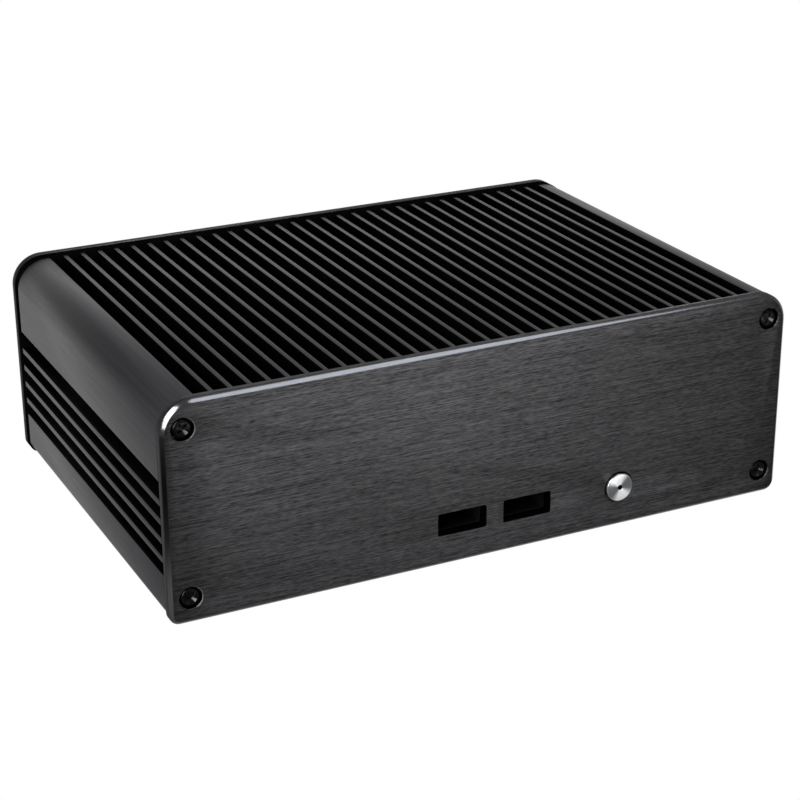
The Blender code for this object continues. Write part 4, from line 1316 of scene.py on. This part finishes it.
@dataclass
class PowerButton:
    """Turned metal cap with a small light hole."""

    radius: float = 3.9 * MM
    bore: float = 0.7 * MM
    flange_radius: float = 5.1 * MM
    stem_radius: float = 2.4 * MM
    edge: float = 0.2 * MM
    play: float = 0.4 * MM
    flange_thick: float = 0.8 * MM
    bore_wall: float = 0.15 * MM
    sides: int = 96

    def build(self) -> bpy.types.Object:
        """Turn the cap, its flange and its stem, and drill the light hole.

        Returns:
            The cap.
        """
        low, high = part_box("power_button")
        x, z = (low.x + high.x) / 2, (low.z + high.z) / 2
        plate_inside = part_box("front_plate")[1].y
        flange = plate_inside + self.play - low.y
        flange_end = flange + self.flange_thick
        length = high.y - low.y
        profile = [
            (self.radius * 0.4, 0.0),
            (self.radius - self.edge, 0.0),
            (self.radius - 0.3 * self.edge, -0.3 * self.edge),
            (self.radius, -self.edge),
            (self.radius, -flange),
            (self.flange_radius, -flange),
            (self.flange_radius, -flange_end),
            (self.stem_radius, -flange_end),
            (self.stem_radius, -length),
        ]
        cap = turned("button_cap", profile, self.sides, Facing.FRONT.place((x, low.y, z)))
        subtract(cap, add_rod("light_hole", (x, low.y - MM, z), (x, high.y + MM, z),
                              self.bore, 32))
        soften(cap, 0.05 * MM)
        return cap

    def dress(self, cap: bpy.types.Object) -> None:
        """Face the cap on the lathe and hand it to the button body.

        Args:
            cap: The built cap.
        """
        x, y, z = side_of("power_button", Facing.FRONT)
        # Faced on a lathe and left bright: rings of tool marks under two fans of painted sheen.
        dress(cap, TurnedMetal("aluminium_turned_painted_sheen", "#5f6165", 0.46, 1.0,
                               centre=(x, y, z)))
        dress_faces(cap, TURNED_SIDE, lambda face: abs(face.normal.y) < 0.97)
        # painted shade on the wall of the light hole
        dress_faces(cap, PAINTED_SHADE_METAL, lambda face: abs(face.normal.y) < 0.7
                    and math.hypot(face.center.x - x, face.center.z - z)
                    < self.bore + self.bore_wall)
        hand_over(cap, BUTTON, "turned_aluminium", "power_button")


# ------------------------------------------------------------------ rear frame

@dataclass
class RearGasket:
    """Black frame pressed between the shell and the rear plate, its black partly painted shade of
    the gap.
    """

    top_radius: float = 8.5 * MM
    low_radius: float = 2.8 * MM
    opening: tuple[float, float, float] = (78.6 * MM, 4.8 * MM, 46.5 * MM)
    opening_radius: float = 1.5 * MM
    hole_x: float = 82.5 * MM
    hole_z: tuple[float, float] = (8.8 * MM, 52.8 * MM)
    hole_radius: float = 1.8 * MM
    sag: float = 0.25 * MM

    def build(self) -> bpy.types.Object:
        """Cut the frame from one cube and round its pressed edges.

        Returns:
            The frame.
        """
        low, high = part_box("rear_frame")
        frame = add_cube("rear_gasket", low, high)
        round_outline(frame, low, high, (self.top_radius, self.low_radius), (16, 8))
        half, floor, ceiling = self.opening
        hole = add_cube("opening", (-half, low.y - MM, floor), (half, high.y + MM, ceiling))
        bevel_edges(hole, runs_along_y, self.opening_radius, 5)
        subtract(frame, hole)
        for side in (-1, 1):
            for z in self.hole_z:
                x = side * self.hole_x
                subtract(frame, add_rod("hole", (x, low.y - MM, z), (x, high.y + MM, z),
                                        self.hole_radius, 24))
        soften(frame, self.sag, 3, 50.0)
        return frame

    def dress(self, frame: bpy.types.Object) -> None:
        """Give the frame its near-black finish, partly painted shade, and hand it to the case."""
        dress(frame, SHADED_GAP_FRAME)
        hand_over(frame, CASE, "black_frame_plastic", "rear_frame")


# ------------------------------------------------------------------ sockets

@dataclass(frozen=True)
class Mouth:
    """One opening of a socket: height above the middle, width, height and depth."""

    lift: float
    width: float
    height: float
    depth: float


@dataclass
class SocketShell:
    """Folded metal socket shell with one or more mouths and their springs."""

    node: str
    facing: Facing
    mouths: tuple[Mouth, ...]
    finish: Finish
    rim: Finish | None = None
    corner: float = 0.5 * MM
    mouth_corner: float = 0.4 * MM
    flare: float = 0.15 * MM
    springs: int = 2
    spring_width: float = 2.2 * MM
    spring_rise: float = 0.22 * MM
    spring_length: float = 4.0 * MM
    spring_half: float = 0.1 * MM
    spring_start: float = 1.6 * MM
    spring_spacing: float = 0.45
    rim_test: float = 0.3

    def spring(self, x: float, y: float, z: float, inward: float, up: float) -> bpy.types.Object:
        """Sprung finger stamped from a wall, lifted in its middle.

        Args:
            x: Middle of the finger.
            y: Depth of its first end.
            z: Height of the wall that it lies on.
            inward: 1 or -1, the way into the socket along Y.
            up: 1 or -1, the way that it stands from the wall.

        Returns:
            The finger.
        """
        end = y + inward * self.spring_length
        low = (x - self.spring_width / 2, min(y, end), z - self.spring_half)
        high = (x + self.spring_width / 2, max(y, end), z + self.spring_half)
        finger = add_cube("spring", low, high)
        make_active(finger)
        bpy.ops.object.mode_set(mode="EDIT")
        bpy.ops.mesh.select_all(action="SELECT")
        bpy.ops.mesh.subdivide(number_cuts=2)
        bpy.ops.object.mode_set(mode="OBJECT")
        with edit(finger) as bm:
            margin = self.spring_length * 0.2
            pick(bm, finger, lambda co: low[1] + margin < co.y < high[1] - margin)
            bpy.ops.transform.translate(value=(0, 0, up * self.spring_rise))
        return finger

    def build(self) -> bpy.types.Object:
        """Shape the shell from one cube, open its mouths and add the springs.

        Returns:
            The shell.
        """
        low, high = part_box(self.node)
        shell = add_cube(f"{self.node}_folded", low, high)
        bevel_edges(shell, runs_along_y, self.corner, 4)
        x, z = (low.x + high.x) / 2, (low.z + high.z) / 2
        front = self.facing is Facing.FRONT
        y, inward = (low.y, 1.0) if front else (high.y, -1.0)
        fingers = []
        for mouth in self.mouths:
            half_x, half_z = mouth.width / 2, mouth.height / 2
            middle = z + mouth.lift
            ends = sorted((y - inward * MM, y + inward * mouth.depth))
            hole = add_cube("mouth", (x - half_x, ends[0], middle - half_z),
                            (x + half_x, ends[1], middle + half_z))
            bevel_edges(hole, runs_along_y, self.mouth_corner, 4)
            subtract(shell, hole)
            start = y + inward * self.spring_start
            for index in range(self.springs):
                at = x + (index - (self.springs - 1) / 2) * mouth.width * self.spring_spacing
                fingers += [self.spring(at, start, middle - up * half_z, inward, up)
                            for up in (1.0, -1.0)]
        soften(shell, self.flare / 2, 2, 50.0)
        if fingers:
            shell = join(shell.name, [shell, *fingers])
        return shell

    def dress(self, shell: bpy.types.Object) -> None:
        """Plate the shell, give its rim a finish of its own if it has one, and hand it to the
        case.

        Args:
            shell: The built shell.
        """
        dress(shell, self.finish)
        if self.rim:
            dress_faces(shell, self.rim, lambda face: face.normal.y < -self.rim_test)
        hand_over(shell, CASE, "plated_steel", self.node)


@dataclass
class ContactTongue:
    """Plastic tongue with a row of sprung contacts along its underside."""

    node: str
    facing: Facing
    contacts: int = 4
    contact_width: float = 1.0 * MM
    contact_rise: float = 0.08 * MM
    contact_inset: float = 0.5 * MM
    contact_sunk: float = 0.1 * MM
    contact_edge: float = 0.05 * MM
    edge: float = 0.25 * MM

    def build(self) -> bpy.types.Object:
        """Round the tongue's tip and lay the contacts in it.

        Returns:
            The tongue with its contacts.
        """
        low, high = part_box(self.node)
        tongue = add_cube(f"{self.node}_moulded", low, high)
        y = low.y if self.facing is Facing.FRONT else high.y
        bevel_edges(tongue, lambda a, b: abs(a.y - y) + abs(b.y - y) < TINY, self.edge, 3)
        shade(tongue)
        pitch = (high.x - low.x) / (self.contacts + 0.6)
        strips = []
        for index in range(self.contacts):
            x = (low.x + high.x) / 2 + (index - (self.contacts - 1) / 2) * pitch
            strip = add_cube("contact", (x - self.contact_width / 2, low.y + self.contact_inset,
                                         low.z - self.contact_rise),
                             (x + self.contact_width / 2, high.y - self.contact_inset,
                              low.z + self.contact_sunk))
            bevel_edges(strip, lambda a, b: max(a.z, b.z) < low.z, self.contact_edge, 2)
            strips.append(strip)
        return join(tongue.name, [tongue, *strips])

    def dress(self, tongue: bpy.types.Object) -> None:
        """Mould the tongue, leave its contacts brass and hand it to the case.

        Args:
            tongue: The built tongue.
        """
        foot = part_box(self.node)[0].z - self.contact_rise / 4
        dress(tongue, SOCKET_PLASTIC)
        dress_faces(tongue, BRASS, lambda face: face.center.z < foot)
        hand_over(tongue, CASE, "moulded_black_plastic", self.node)


@dataclass
class NetworkSocket:
    """Network socket with its latch notch, eight contacts and two lamps."""

    mouth: Mouth = Mouth(-0.8 * MM, 11.8 * MM, 8.4 * MM, 12.5 * MM)
    notch_half: float = 3.0 * MM
    notch_drop: float = 1.3 * MM
    notch_depth: float = 6.0 * MM
    lamp_half: tuple[float, float] = (1.5 * MM, 0.9 * MM)
    lamp_x: float = 5.4 * MM
    lamp_lift: float = 5.0 * MM
    lamp_depth: float = 2.0 * MM
    lamp_gap: float = 0.05 * MM
    lamp_sunk: float = 0.1 * MM
    lamp_edge: float = 0.2 * MM
    contacts: int = 8
    contact_pitch: float = 1.02 * MM
    contact_radius: float = 0.22 * MM
    contact_front: tuple[float, float] = (2.5 * MM, 0.4 * MM)
    contact_back: tuple[float, float] = (10.0 * MM, 3.4 * MM)

    def lamp(self, shell: bpy.types.Object, label: str, x: float, z: float, y: float,
             finish: Finish) -> None:
        """Cut a lamp's seat in the shell and set its lens in it.

        Args:
            shell: Shell of the socket.
            label: Side that the lamp is on.
            x: Middle of the lamp.
            z: Height of its middle.
            y: Depth of the socket's mouth.
            finish: Finish of the lens.
        """
        half_x, half_z = self.lamp_half
        back = y - self.lamp_depth
        subtract(shell, add_cube("lamp_seat", (x - half_x, back, z - half_z),
                                 (x + half_x, y + MM, z + half_z)))
        gap = self.lamp_gap
        lens = add_cube(f"network_lamp_{label}", (x - half_x + gap, back, z - half_z + gap),
                        (x + half_x - gap, y - self.lamp_sunk, z + half_z - gap))
        soften(lens, self.lamp_edge, 3)
        dress(lens, finish)
        hand_over(lens, CASE, "clear_acrylic")

    def comb(self, x: float, roof: float, y: float) -> None:
        """Make the row of contact wires that slope down from the roof of the mouth.

        Args:
            x: Middle of the row.
            roof: Height of the mouth's roof.
            y: Depth of the mouth.
        """
        (front, front_drop), (back, back_drop) = self.contact_front, self.contact_back
        wires = []
        for index in range(self.contacts):
            at = x + (index - (self.contacts - 1) / 2) * self.contact_pitch
            wires.append(add_rod("wire", (at, y - front, roof - front_drop),
                                 (at, y - back, roof - back_drop), self.contact_radius, 10))
        comb = join("network_contacts", wires)
        shade(comb)
        dress(comb, BRASS)
        hand_over(comb, CASE, "brass")

    def build(self) -> None:
        """Shape the shell, its lamps and its contacts, and hand them over."""
        low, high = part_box("network_socket")
        x, y, z = (low.x + high.x) / 2, high.y, (low.z + high.z) / 2
        builder = SocketShell("network_socket", Facing.REAR, (self.mouth,), NICKEL, springs=0)
        shell = builder.build()
        middle, half = z + self.mouth.lift, self.mouth.height / 2
        subtract(shell, add_cube("notch", (x - self.notch_half, y - self.notch_depth,
                                           middle - half - self.notch_drop),
                                 (x + self.notch_half, y + MM, middle - half + MM)))
        level = z + self.lamp_lift
        self.lamp(shell, "left", x - self.lamp_x, level, y, LAMP_GREEN)
        self.lamp(shell, "right", x + self.lamp_x, level, y, LAMP_AMBER)
        builder.dress(shell)
        self.comb(x, middle + half, y)


@dataclass
class RoundFittings:
    """Round pieces of the rear: power inlet with its pin, and two blind plugs."""

    jack_radius: float = 3.9 * MM
    jack_body: float = 4.6 * MM
    jack_bore: float = 2.9 * MM
    jack_depth: float = 9.5 * MM
    jack_step: float = 4.0 * MM
    plug_radius: float = 3.2 * MM
    plug_head: float = 4.6 * MM
    plug_head_thick: float = 0.4 * MM
    plug_dish: float = 0.18 * MM
    edge: float = 0.25 * MM
    sides: int = 64

    def jack(self) -> None:
        """Turn the inlet's body and drill its bore."""
        low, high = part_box("dc_jack")
        place = Facing.REAR.place(side_of("dc_jack", Facing.REAR))
        length = high.y - low.y
        profile = [(self.jack_radius * 0.9, 0.0), (self.jack_radius - self.edge, 0.0),
                   (self.jack_radius, -self.edge), (self.jack_radius, -self.jack_step),
                   (self.jack_body, -self.jack_step), (self.jack_body, -length)]
        body = turned("dc_jack_barrel", profile, self.sides, place)
        bore = [(self.jack_bore + 0.6 * MM, 0.3 * MM), (self.jack_bore, -0.3 * MM),
                (self.jack_bore, -self.jack_depth)]
        subtract(body, turned("bore", bore, self.sides, place))
        soften(body, 0.1 * MM, 2, 30.0)
        dress(body, SOCKET_PLASTIC)
        hand_over(body, CASE, "moulded_black_plastic", "dc_jack")

    def pin(self) -> None:
        """Turn the inlet's pin with a rounded tip."""
        low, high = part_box("dc_pin")
        at = side_of("dc_pin", Facing.REAR)
        radius = (high.x - low.x) / 2
        profile = [(radius * 0.35, -0.12 * MM), (radius * 0.45, 0.0), (radius * 0.75, -0.06 * MM),
                   (radius * 0.93, -0.22 * MM), (radius, -0.5 * MM), (radius, low.y - high.y)]
        pin = turned("dc_pin_turned", profile, 32, Facing.REAR.place(at))
        shade(pin, 50.0)
        dress(pin, BRASS)
        hand_over(pin, CASE, "brass", "dc_pin")

    def plugs(self) -> None:
        """Turn one blind plug and copy it to both holes."""
        low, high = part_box("antenna_plug_left")
        head, thick = self.plug_head, self.plug_head_thick
        profile = [(head * 0.35, -self.plug_dish), (head * 0.62, -self.plug_dish),
                   (head * 0.7, 0.0), (head - self.edge, 0.0), (head, -thick / 2),
                   (head, -thick), (self.plug_radius, -thick),
                   (self.plug_radius, low.y - high.y)]
        master = turned("plug_master", profile, self.sides, Matrix.Identity(4))
        shade(master, 30.0)
        dress(master, FRAME_PLASTIC)
        for node in ("antenna_plug_left", "antenna_plug_right"):
            place = Facing.REAR.place(side_of(node, Facing.REAR))
            plug = copy_of(master, f"{node}_moulded", place)
            hand_over(plug, CASE, "moulded_black_plastic", node)
        bpy.data.objects.remove(master)

    def build(self) -> None:
        """Make every round fitting."""
        self.jack()
        self.pin()
        self.plugs()


@dataclass
class Sockets:
    """Every socket of the front and the rear, with its tongue."""

    usb: Mouth = Mouth(0.0, 12.5 * MM, 5.0 * MM, 13.0 * MM)
    display: Mouth = Mouth(0.0, 14.2 * MM, 5.4 * MM, 11.0 * MM)
    twin_lift: float = 3.5 * MM
    twin_depth: float = 16.0 * MM
    display_corner: float = 1.0 * MM
    display_contacts: int = 10
    display_contact: float = 0.5 * MM

    def shells(self) -> list[SocketShell]:
        """List the folded shells.

        Returns:
            One builder for each shell.
        """
        twin = tuple(replace(self.usb, lift=side * self.twin_lift, depth=self.twin_depth)
                     for side in (-1, 1))
        # painted shade: the front shells' near-black keeps their mouths dark
        front = [SocketShell(f"front_usb_shell_{side}", Facing.FRONT, (self.usb,),
                             SHADED_MOUTH_STEEL, SCREW_STEEL) for side in SIDES]
        display = [SocketShell(f"display_shell_{side}", Facing.REAR, (self.display,), NICKEL,
                               corner=self.display_corner) for side in SIDES]
        return [*front, *display, SocketShell("rear_usb_shell", Facing.REAR, twin, NICKEL)]

    def tongues(self) -> list[ContactTongue]:
        """List the contact tongues.

        Returns:
            One builder for each tongue.
        """
        front = [ContactTongue(f"front_usb_tongue_{side}", Facing.FRONT) for side in SIDES]
        display = [ContactTongue(f"display_tongue_{side}", Facing.REAR, self.display_contacts,
                                 self.display_contact) for side in SIDES]
        rear = [ContactTongue(f"rear_usb_tongue_{row}", Facing.REAR) for row in ("lower", "upper")]
        return [*front, *display, *rear]

    def build(self) -> None:
        """Make and dress every socket."""
        for builder in (*self.shells(), *self.tongues()):
            builder.dress(builder.build())
        NetworkSocket().build()
        RoundFittings().build()


# ------------------------------------------------------------------ underside

@dataclass
class Underside:
    """Sheet-steel base, its flat-head screws and the four rubber feet."""

    corner: float = 1.0 * MM
    hole_x: float = 78.0 * MM
    hole_y: float = 45.0 * MM
    head_radius: float = 2.3 * MM
    head_height: float = 1.15 * MM
    shank_radius: float = 1.4 * MM
    clearance: float = 0.25 * MM
    sheet: float = 1.0 * MM
    screw_length: float = 6.0 * MM
    screw_tip: float = 0.4 * MM
    first_turn: float = 20.0
    turn_step: float = 47.0
    foot_dish: float = 3.0 * MM
    foot_dish_depth: float = 0.8 * MM
    foot_dish_wall: float = 0.3 * MM
    foot_edge: float = 0.9 * MM
    foot_edge_steps: int = 5

    def base(self) -> None:
        """Cut the base from one cube, countersink it and break its edges."""
        low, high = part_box("base_plate")
        base = add_cube("base_sheet", low, high)
        bevel_edges(base, runs_along_z, self.corner, 6)
        wide = self.head_radius + self.clearance
        narrow = self.shank_radius + self.clearance
        profile = [(wide, self.sheet), (wide, -0.05 * self.sheet), (narrow, -self.sheet),
                   (narrow, -3 * self.sheet)]
        for side in (-1, 1):
            for end in (-1, 1):
                at = (side * self.hole_x, end * self.hole_y, low.z)
                subtract(base, turned("countersink", profile, 32, Facing.DOWN.place(at)))
        soften(base, 0.12 * MM)
        dress(base, SHEET_STEEL)
        hand_over(base, CASE, "black_sheet_steel", "base_plate")

    def screw(self) -> bpy.types.Object:
        """Turn one flat-head screw, head up, with its face on z = 0.

        Returns:
            The screw, dressed.
        """
        length, tip = self.screw_length, self.screw_tip
        profile = [(self.head_radius * 0.5, 0.0), (self.head_radius, 0.0),
                   (self.head_radius, -0.15 * MM), (self.shank_radius, -self.head_height),
                   (self.shank_radius, tip - length), (self.shank_radius - tip, -length)]
        screw = turned("base_screw_master", profile, 40, Matrix.Identity(4))
        cross = PanScrew(head_height=0.0, wing=1.35 * MM, wing_half=0.32 * MM,
                         recess_depth=0.9 * MM, edge_break=0.04 * MM)
        subtract(screw, *cross.recess())
        soften(screw, cross.edge_break)
        cross.dress(screw)
        return screw

    def screws(self) -> None:
        """Copy the screw to its four places."""
        master = self.screw()
        for index, node in enumerate(f"base_screw_{end}_{side}" for end in ENDS
                                     for side in SIDES):
            place = Facing.DOWN.place(side_of(node, Facing.DOWN))
            spin = Matrix.Rotation(math.radians(self.first_turn + self.turn_step * index), 4, "Z")
            screw = copy_of(master, f"{node}_turned", place @ spin)
            hand_over(screw, CASE, "black_screw_steel", node)
        bpy.data.objects.remove(master)

    def feet(self) -> None:
        """Turn one foot with a rounded rim and a dished middle, and copy it."""
        low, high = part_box("foot_front_left")
        radius, dish, depth = (high.x - low.x) / 2, self.foot_dish, self.foot_dish_depth
        profile = [(dish / 2, -depth), (dish, -depth), (dish + self.foot_dish_wall, 0.0)]
        for step in range(self.foot_edge_steps + 1):
            turn = math.pi / 2 * step / self.foot_edge_steps
            profile.append((radius - self.foot_edge * (1 - math.sin(turn)),
                            -self.foot_edge * (1 - math.cos(turn))))
        profile.append((radius, low.z - high.z))
        master = turned("foot_master", profile, 64, Matrix.Identity(4))
        shade(master)
        dress(master, FOOT_RUBBER)
        for node in (f"foot_{end}_{side}" for end in ENDS for side in SIDES):
            place = Facing.DOWN.place(side_of(node, Facing.DOWN))
            foot = copy_of(master, f"{node}_moulded", place)
            hand_over(foot, CASE, "foot_rubber", node)
        bpy.data.objects.remove(master)

    def build(self) -> None:
        """Make the whole underside."""
        self.base()
        self.screws()
        self.feet()


# ------------------------------------------------------------------ carried-over nodes

CARRIED = {
    "black_frame_plastic": FRAME_PLASTIC,
    "black_screw_steel": SCREW_STEEL,
    "black_sheet_steel": SHEET_STEEL,
    "foot_rubber": FOOT_RUBBER,
    "moulded_black_plastic": FRAME_PLASTIC,
    "board_laminate": BOARD_MASK,
    "silicon_package": SILICON,
    "thermal_silicone": PAD_SILICONE,
    "milled_aluminium": BLOCK_ALUMINIUM,
    "brass": BRASS,
    "plated_steel": NICKEL,
    "clear_acrylic": ACRYLIC,
    "black_anodised_aluminium": SHELL_METAL,
    "turned_aluminium": BLOCK_ALUMINIUM,
}


def dress_carried(frame: dict) -> None:
    """Give every CAD node the finish of its material slot.
    """
    slots = {part["node"]: part["material_slot"] for part in frame["record"]["subparts"]}
    for node, obj in frame["nodes"].items():
        finish = CARRIED[slots[node]]
        for place in obj.material_slots:
            place.material = finish.material()
        LOG.info("%s is dressed in %s", node, finish.name)


# ------------------------------------------------------------------ studio

@dataclass(frozen=True)
class Softbox:
    """Rectangular lamp that shines towards a point of the case."""

    name: str
    middle: Point
    size: tuple[float, float]
    radiance: float
    colour: str = "#ffffff"
    aim: Point = (0.0, 0.0, 0.03)

    def build(self) -> None:
        """Hang the lamp, with its power worked out from its brightness and area."""
        data = bpy.data.lights.new(self.name, "AREA")
        data.shape = "RECTANGLE"
        data.size, data.size_y = self.size
        data.energy = self.radiance * math.pi * self.size[0] * self.size[1]
        data.color = linear(self.colour)[:3]
        light = bpy.data.objects.new(self.name, data)
        bpy.context.scene.collection.objects.link(light)
        light.location = self.middle
        aim = Vector(self.aim) - Vector(self.middle)
        light.rotation_euler = aim.to_track_quat("-Z", "Y").to_euler()
        light.visible_camera = False


@dataclass
class Studio:
    """Pale floor, softboxes and the camera."""

    azimuth: float = -25.96
    elevation: float = 22.41
    roll: float = -0.35
    lens: float = 91.19
    eye: Point = (-226.2 * MM, -471.7 * MM, 238.1 * MM)
    fill: float = 0.58
    flag: Point = (-0.36, 0.88, 0.24)
    flag_core: float = 8.0
    flag_rim: float = 34.0
    flag_level: float = 0.3
    floor_level: float = 0.5
    # Middle, radius and added brightness of each pool of light or shade on the floor.
    patches: tuple[tuple[Point, float, float], ...] = (
        ((0.09, -0.32, 0.0), 0.21, 9.6),
        ((-0.17, -0.09, 0.0), 0.11, -0.48),
        ((-0.105, -0.07, 0.0), 0.03, 0.6),
    )
    floor_size: float = 12.0
    backdrop_level: float = 1.05
    sensor: float = 36.0
    lamps: tuple[Softbox, ...] = (
        Softbox("overhead", (0.37, -0.48, 1.0), (0.58, 0.35), 6.8, "#f0f5ff",
                (0.0, -0.061, 0.06)),
        Softbox("key", (-0.737, -0.52, 0.47), (0.54, 1.0), 16.0, aim=(-0.085, -0.061, 0.053)),
    )

    def camera(self) -> None:
        """Put the camera at its station, aimed down at the case."""
        data = bpy.data.cameras.new("camera")
        data.lens = self.lens
        data.sensor_width = self.sensor
        data.clip_start = 0.01
        camera = bpy.data.objects.new("camera", data)
        bpy.context.scene.collection.objects.link(camera)
        heading = Matrix.Rotation(math.radians(self.azimuth), 4, "Z")
        pitch = Matrix.Rotation(math.radians(90.0 - self.elevation), 4, "X")
        roll = Matrix.Rotation(math.radians(self.roll), 4, "Z")
        camera.matrix_world = Matrix.Translation(self.eye) @ heading @ pitch @ roll
        bpy.context.scene.camera = camera

    def patch(self, tree: bpy.types.NodeTree, middle: Point, radius: float,
              gain: float) -> bpy.types.NodeSocket:
        """Round patch of light on the floor that fades out at its rim.

        Args:
            tree: Node tree of the floor.
            middle: Middle of the patch in metres.
            radius: Radius in metres.
            gain: Brightness that the patch adds in its middle.

        Returns:
            Socket that holds the added brightness.
        """
        place = add_node(tree, "ShaderNodeTexCoord")
        gap = add_node(tree, "ShaderNodeVectorMath", {"operation": "DISTANCE", 1: middle},
                       {0: place.outputs["Object"]})
        fade = add_node(tree, "ShaderNodeMapRange",
                        {"interpolation_type": "SMOOTHSTEP", "From Max": radius, "To Min": gain,
                         "To Max": 0.0}, {"Value": gap.outputs["Value"]})
        return fade.outputs["Result"]

    def floor(self) -> None:
        """Plain white table under the feet, with pools of light and shade in reflections."""
        deselect_all()
        bpy.ops.mesh.primitive_plane_add(size=self.floor_size, location=(0, 0, 0))
        floor = named(bpy.context.object, "floor")
        material = bpy.data.materials.new("floor_paper_white")
        material.use_nodes = True
        tree = material.node_tree
        tree.nodes.remove(tree.nodes["Principled BSDF"])
        total = add_node(tree, "ShaderNodeMath", {"operation": "ADD", 0: self.floor_level,
                                                  1: 0.0}).outputs[0]
        for middle, radius, gain in self.patches:
            patch = self.patch(tree, middle, radius, gain)
            total = add_node(tree, "ShaderNodeMath", {"operation": "ADD"},
                             {0: total, 1: patch}).outputs[0]
        glow = add_node(tree, "ShaderNodeEmission", None, {"Strength": total})
        paper = add_node(tree, "ShaderNodeEmission", {"Strength": 1.0})
        path = add_node(tree, "ShaderNodeLightPath")
        both = add_node(tree, "ShaderNodeMixShader", None,
                        {0: path.outputs["Is Camera Ray"], 1: glow.outputs[0],
                         2: paper.outputs[0]})
        tree.links.new(both.outputs[0], tree.nodes["Material Output"].inputs["Surface"])
        floor.data.materials.append(material)

    def world(self) -> None:
        """Soft fill with one dim lobe behind the case on the left, seen as white."""
        world = bpy.data.worlds.new("studio")
        bpy.context.scene.world = world
        world.use_nodes = True
        tree = world.node_tree
        back = tree.nodes["Background"]
        back.inputs["Color"].default_value = (1, 1, 1, 1)
        path = add_node(tree, "ShaderNodeLightPath")
        place = add_node(tree, "ShaderNodeTexCoord")
        flag = add_node(tree, "ShaderNodeVectorMath",
                        {"operation": "DOT_PRODUCT", 1: Vector(self.flag).normalized()},
                        {0: place.outputs["Generated"]})
        dimmed = add_node(tree, "ShaderNodeMapRange",
                          {"interpolation_type": "SMOOTHSTEP",
                           "From Min": math.cos(math.radians(self.flag_rim)),
                           "From Max": math.cos(math.radians(self.flag_core)),
                           "To Min": self.fill, "To Max": self.flag_level},
                          {"Value": flag.outputs["Value"]})
        level = add_node(tree, "ShaderNodeMapRange", {"To Max": self.backdrop_level},
                         {"Value": path.outputs["Is Camera Ray"],
                          "To Min": dimmed.outputs["Result"]})
        tree.links.new(level.outputs["Result"], back.inputs["Strength"])

    def build(self) -> None:
        """Set up the whole studio."""
        bpy.context.scene.view_settings.view_transform = "Standard"
        self.camera()
        self.floor()
        self.world()
        for lamp in self.lamps:
            lamp.build()


# ------------------------------------------------------------------ assembly

def main() -> None:
    """Load the frame, build every sub-assembly and set up the studio."""
    logging.basicConfig(level=logging.INFO, format="%(name)s: %(message)s")
    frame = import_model()
    dress_carried(frame)
    Studio().build()

    for maker in (HeatsinkShell(), FrontPlate(), RearPlate(), RearGasket()):
        maker.dress(maker.build())
    for group in (PlateScrews(), Sockets(), Underside()):
        group.build()
    button = PowerButton()
    button.dress(button.build())


if __name__ == "__main__":
    main()
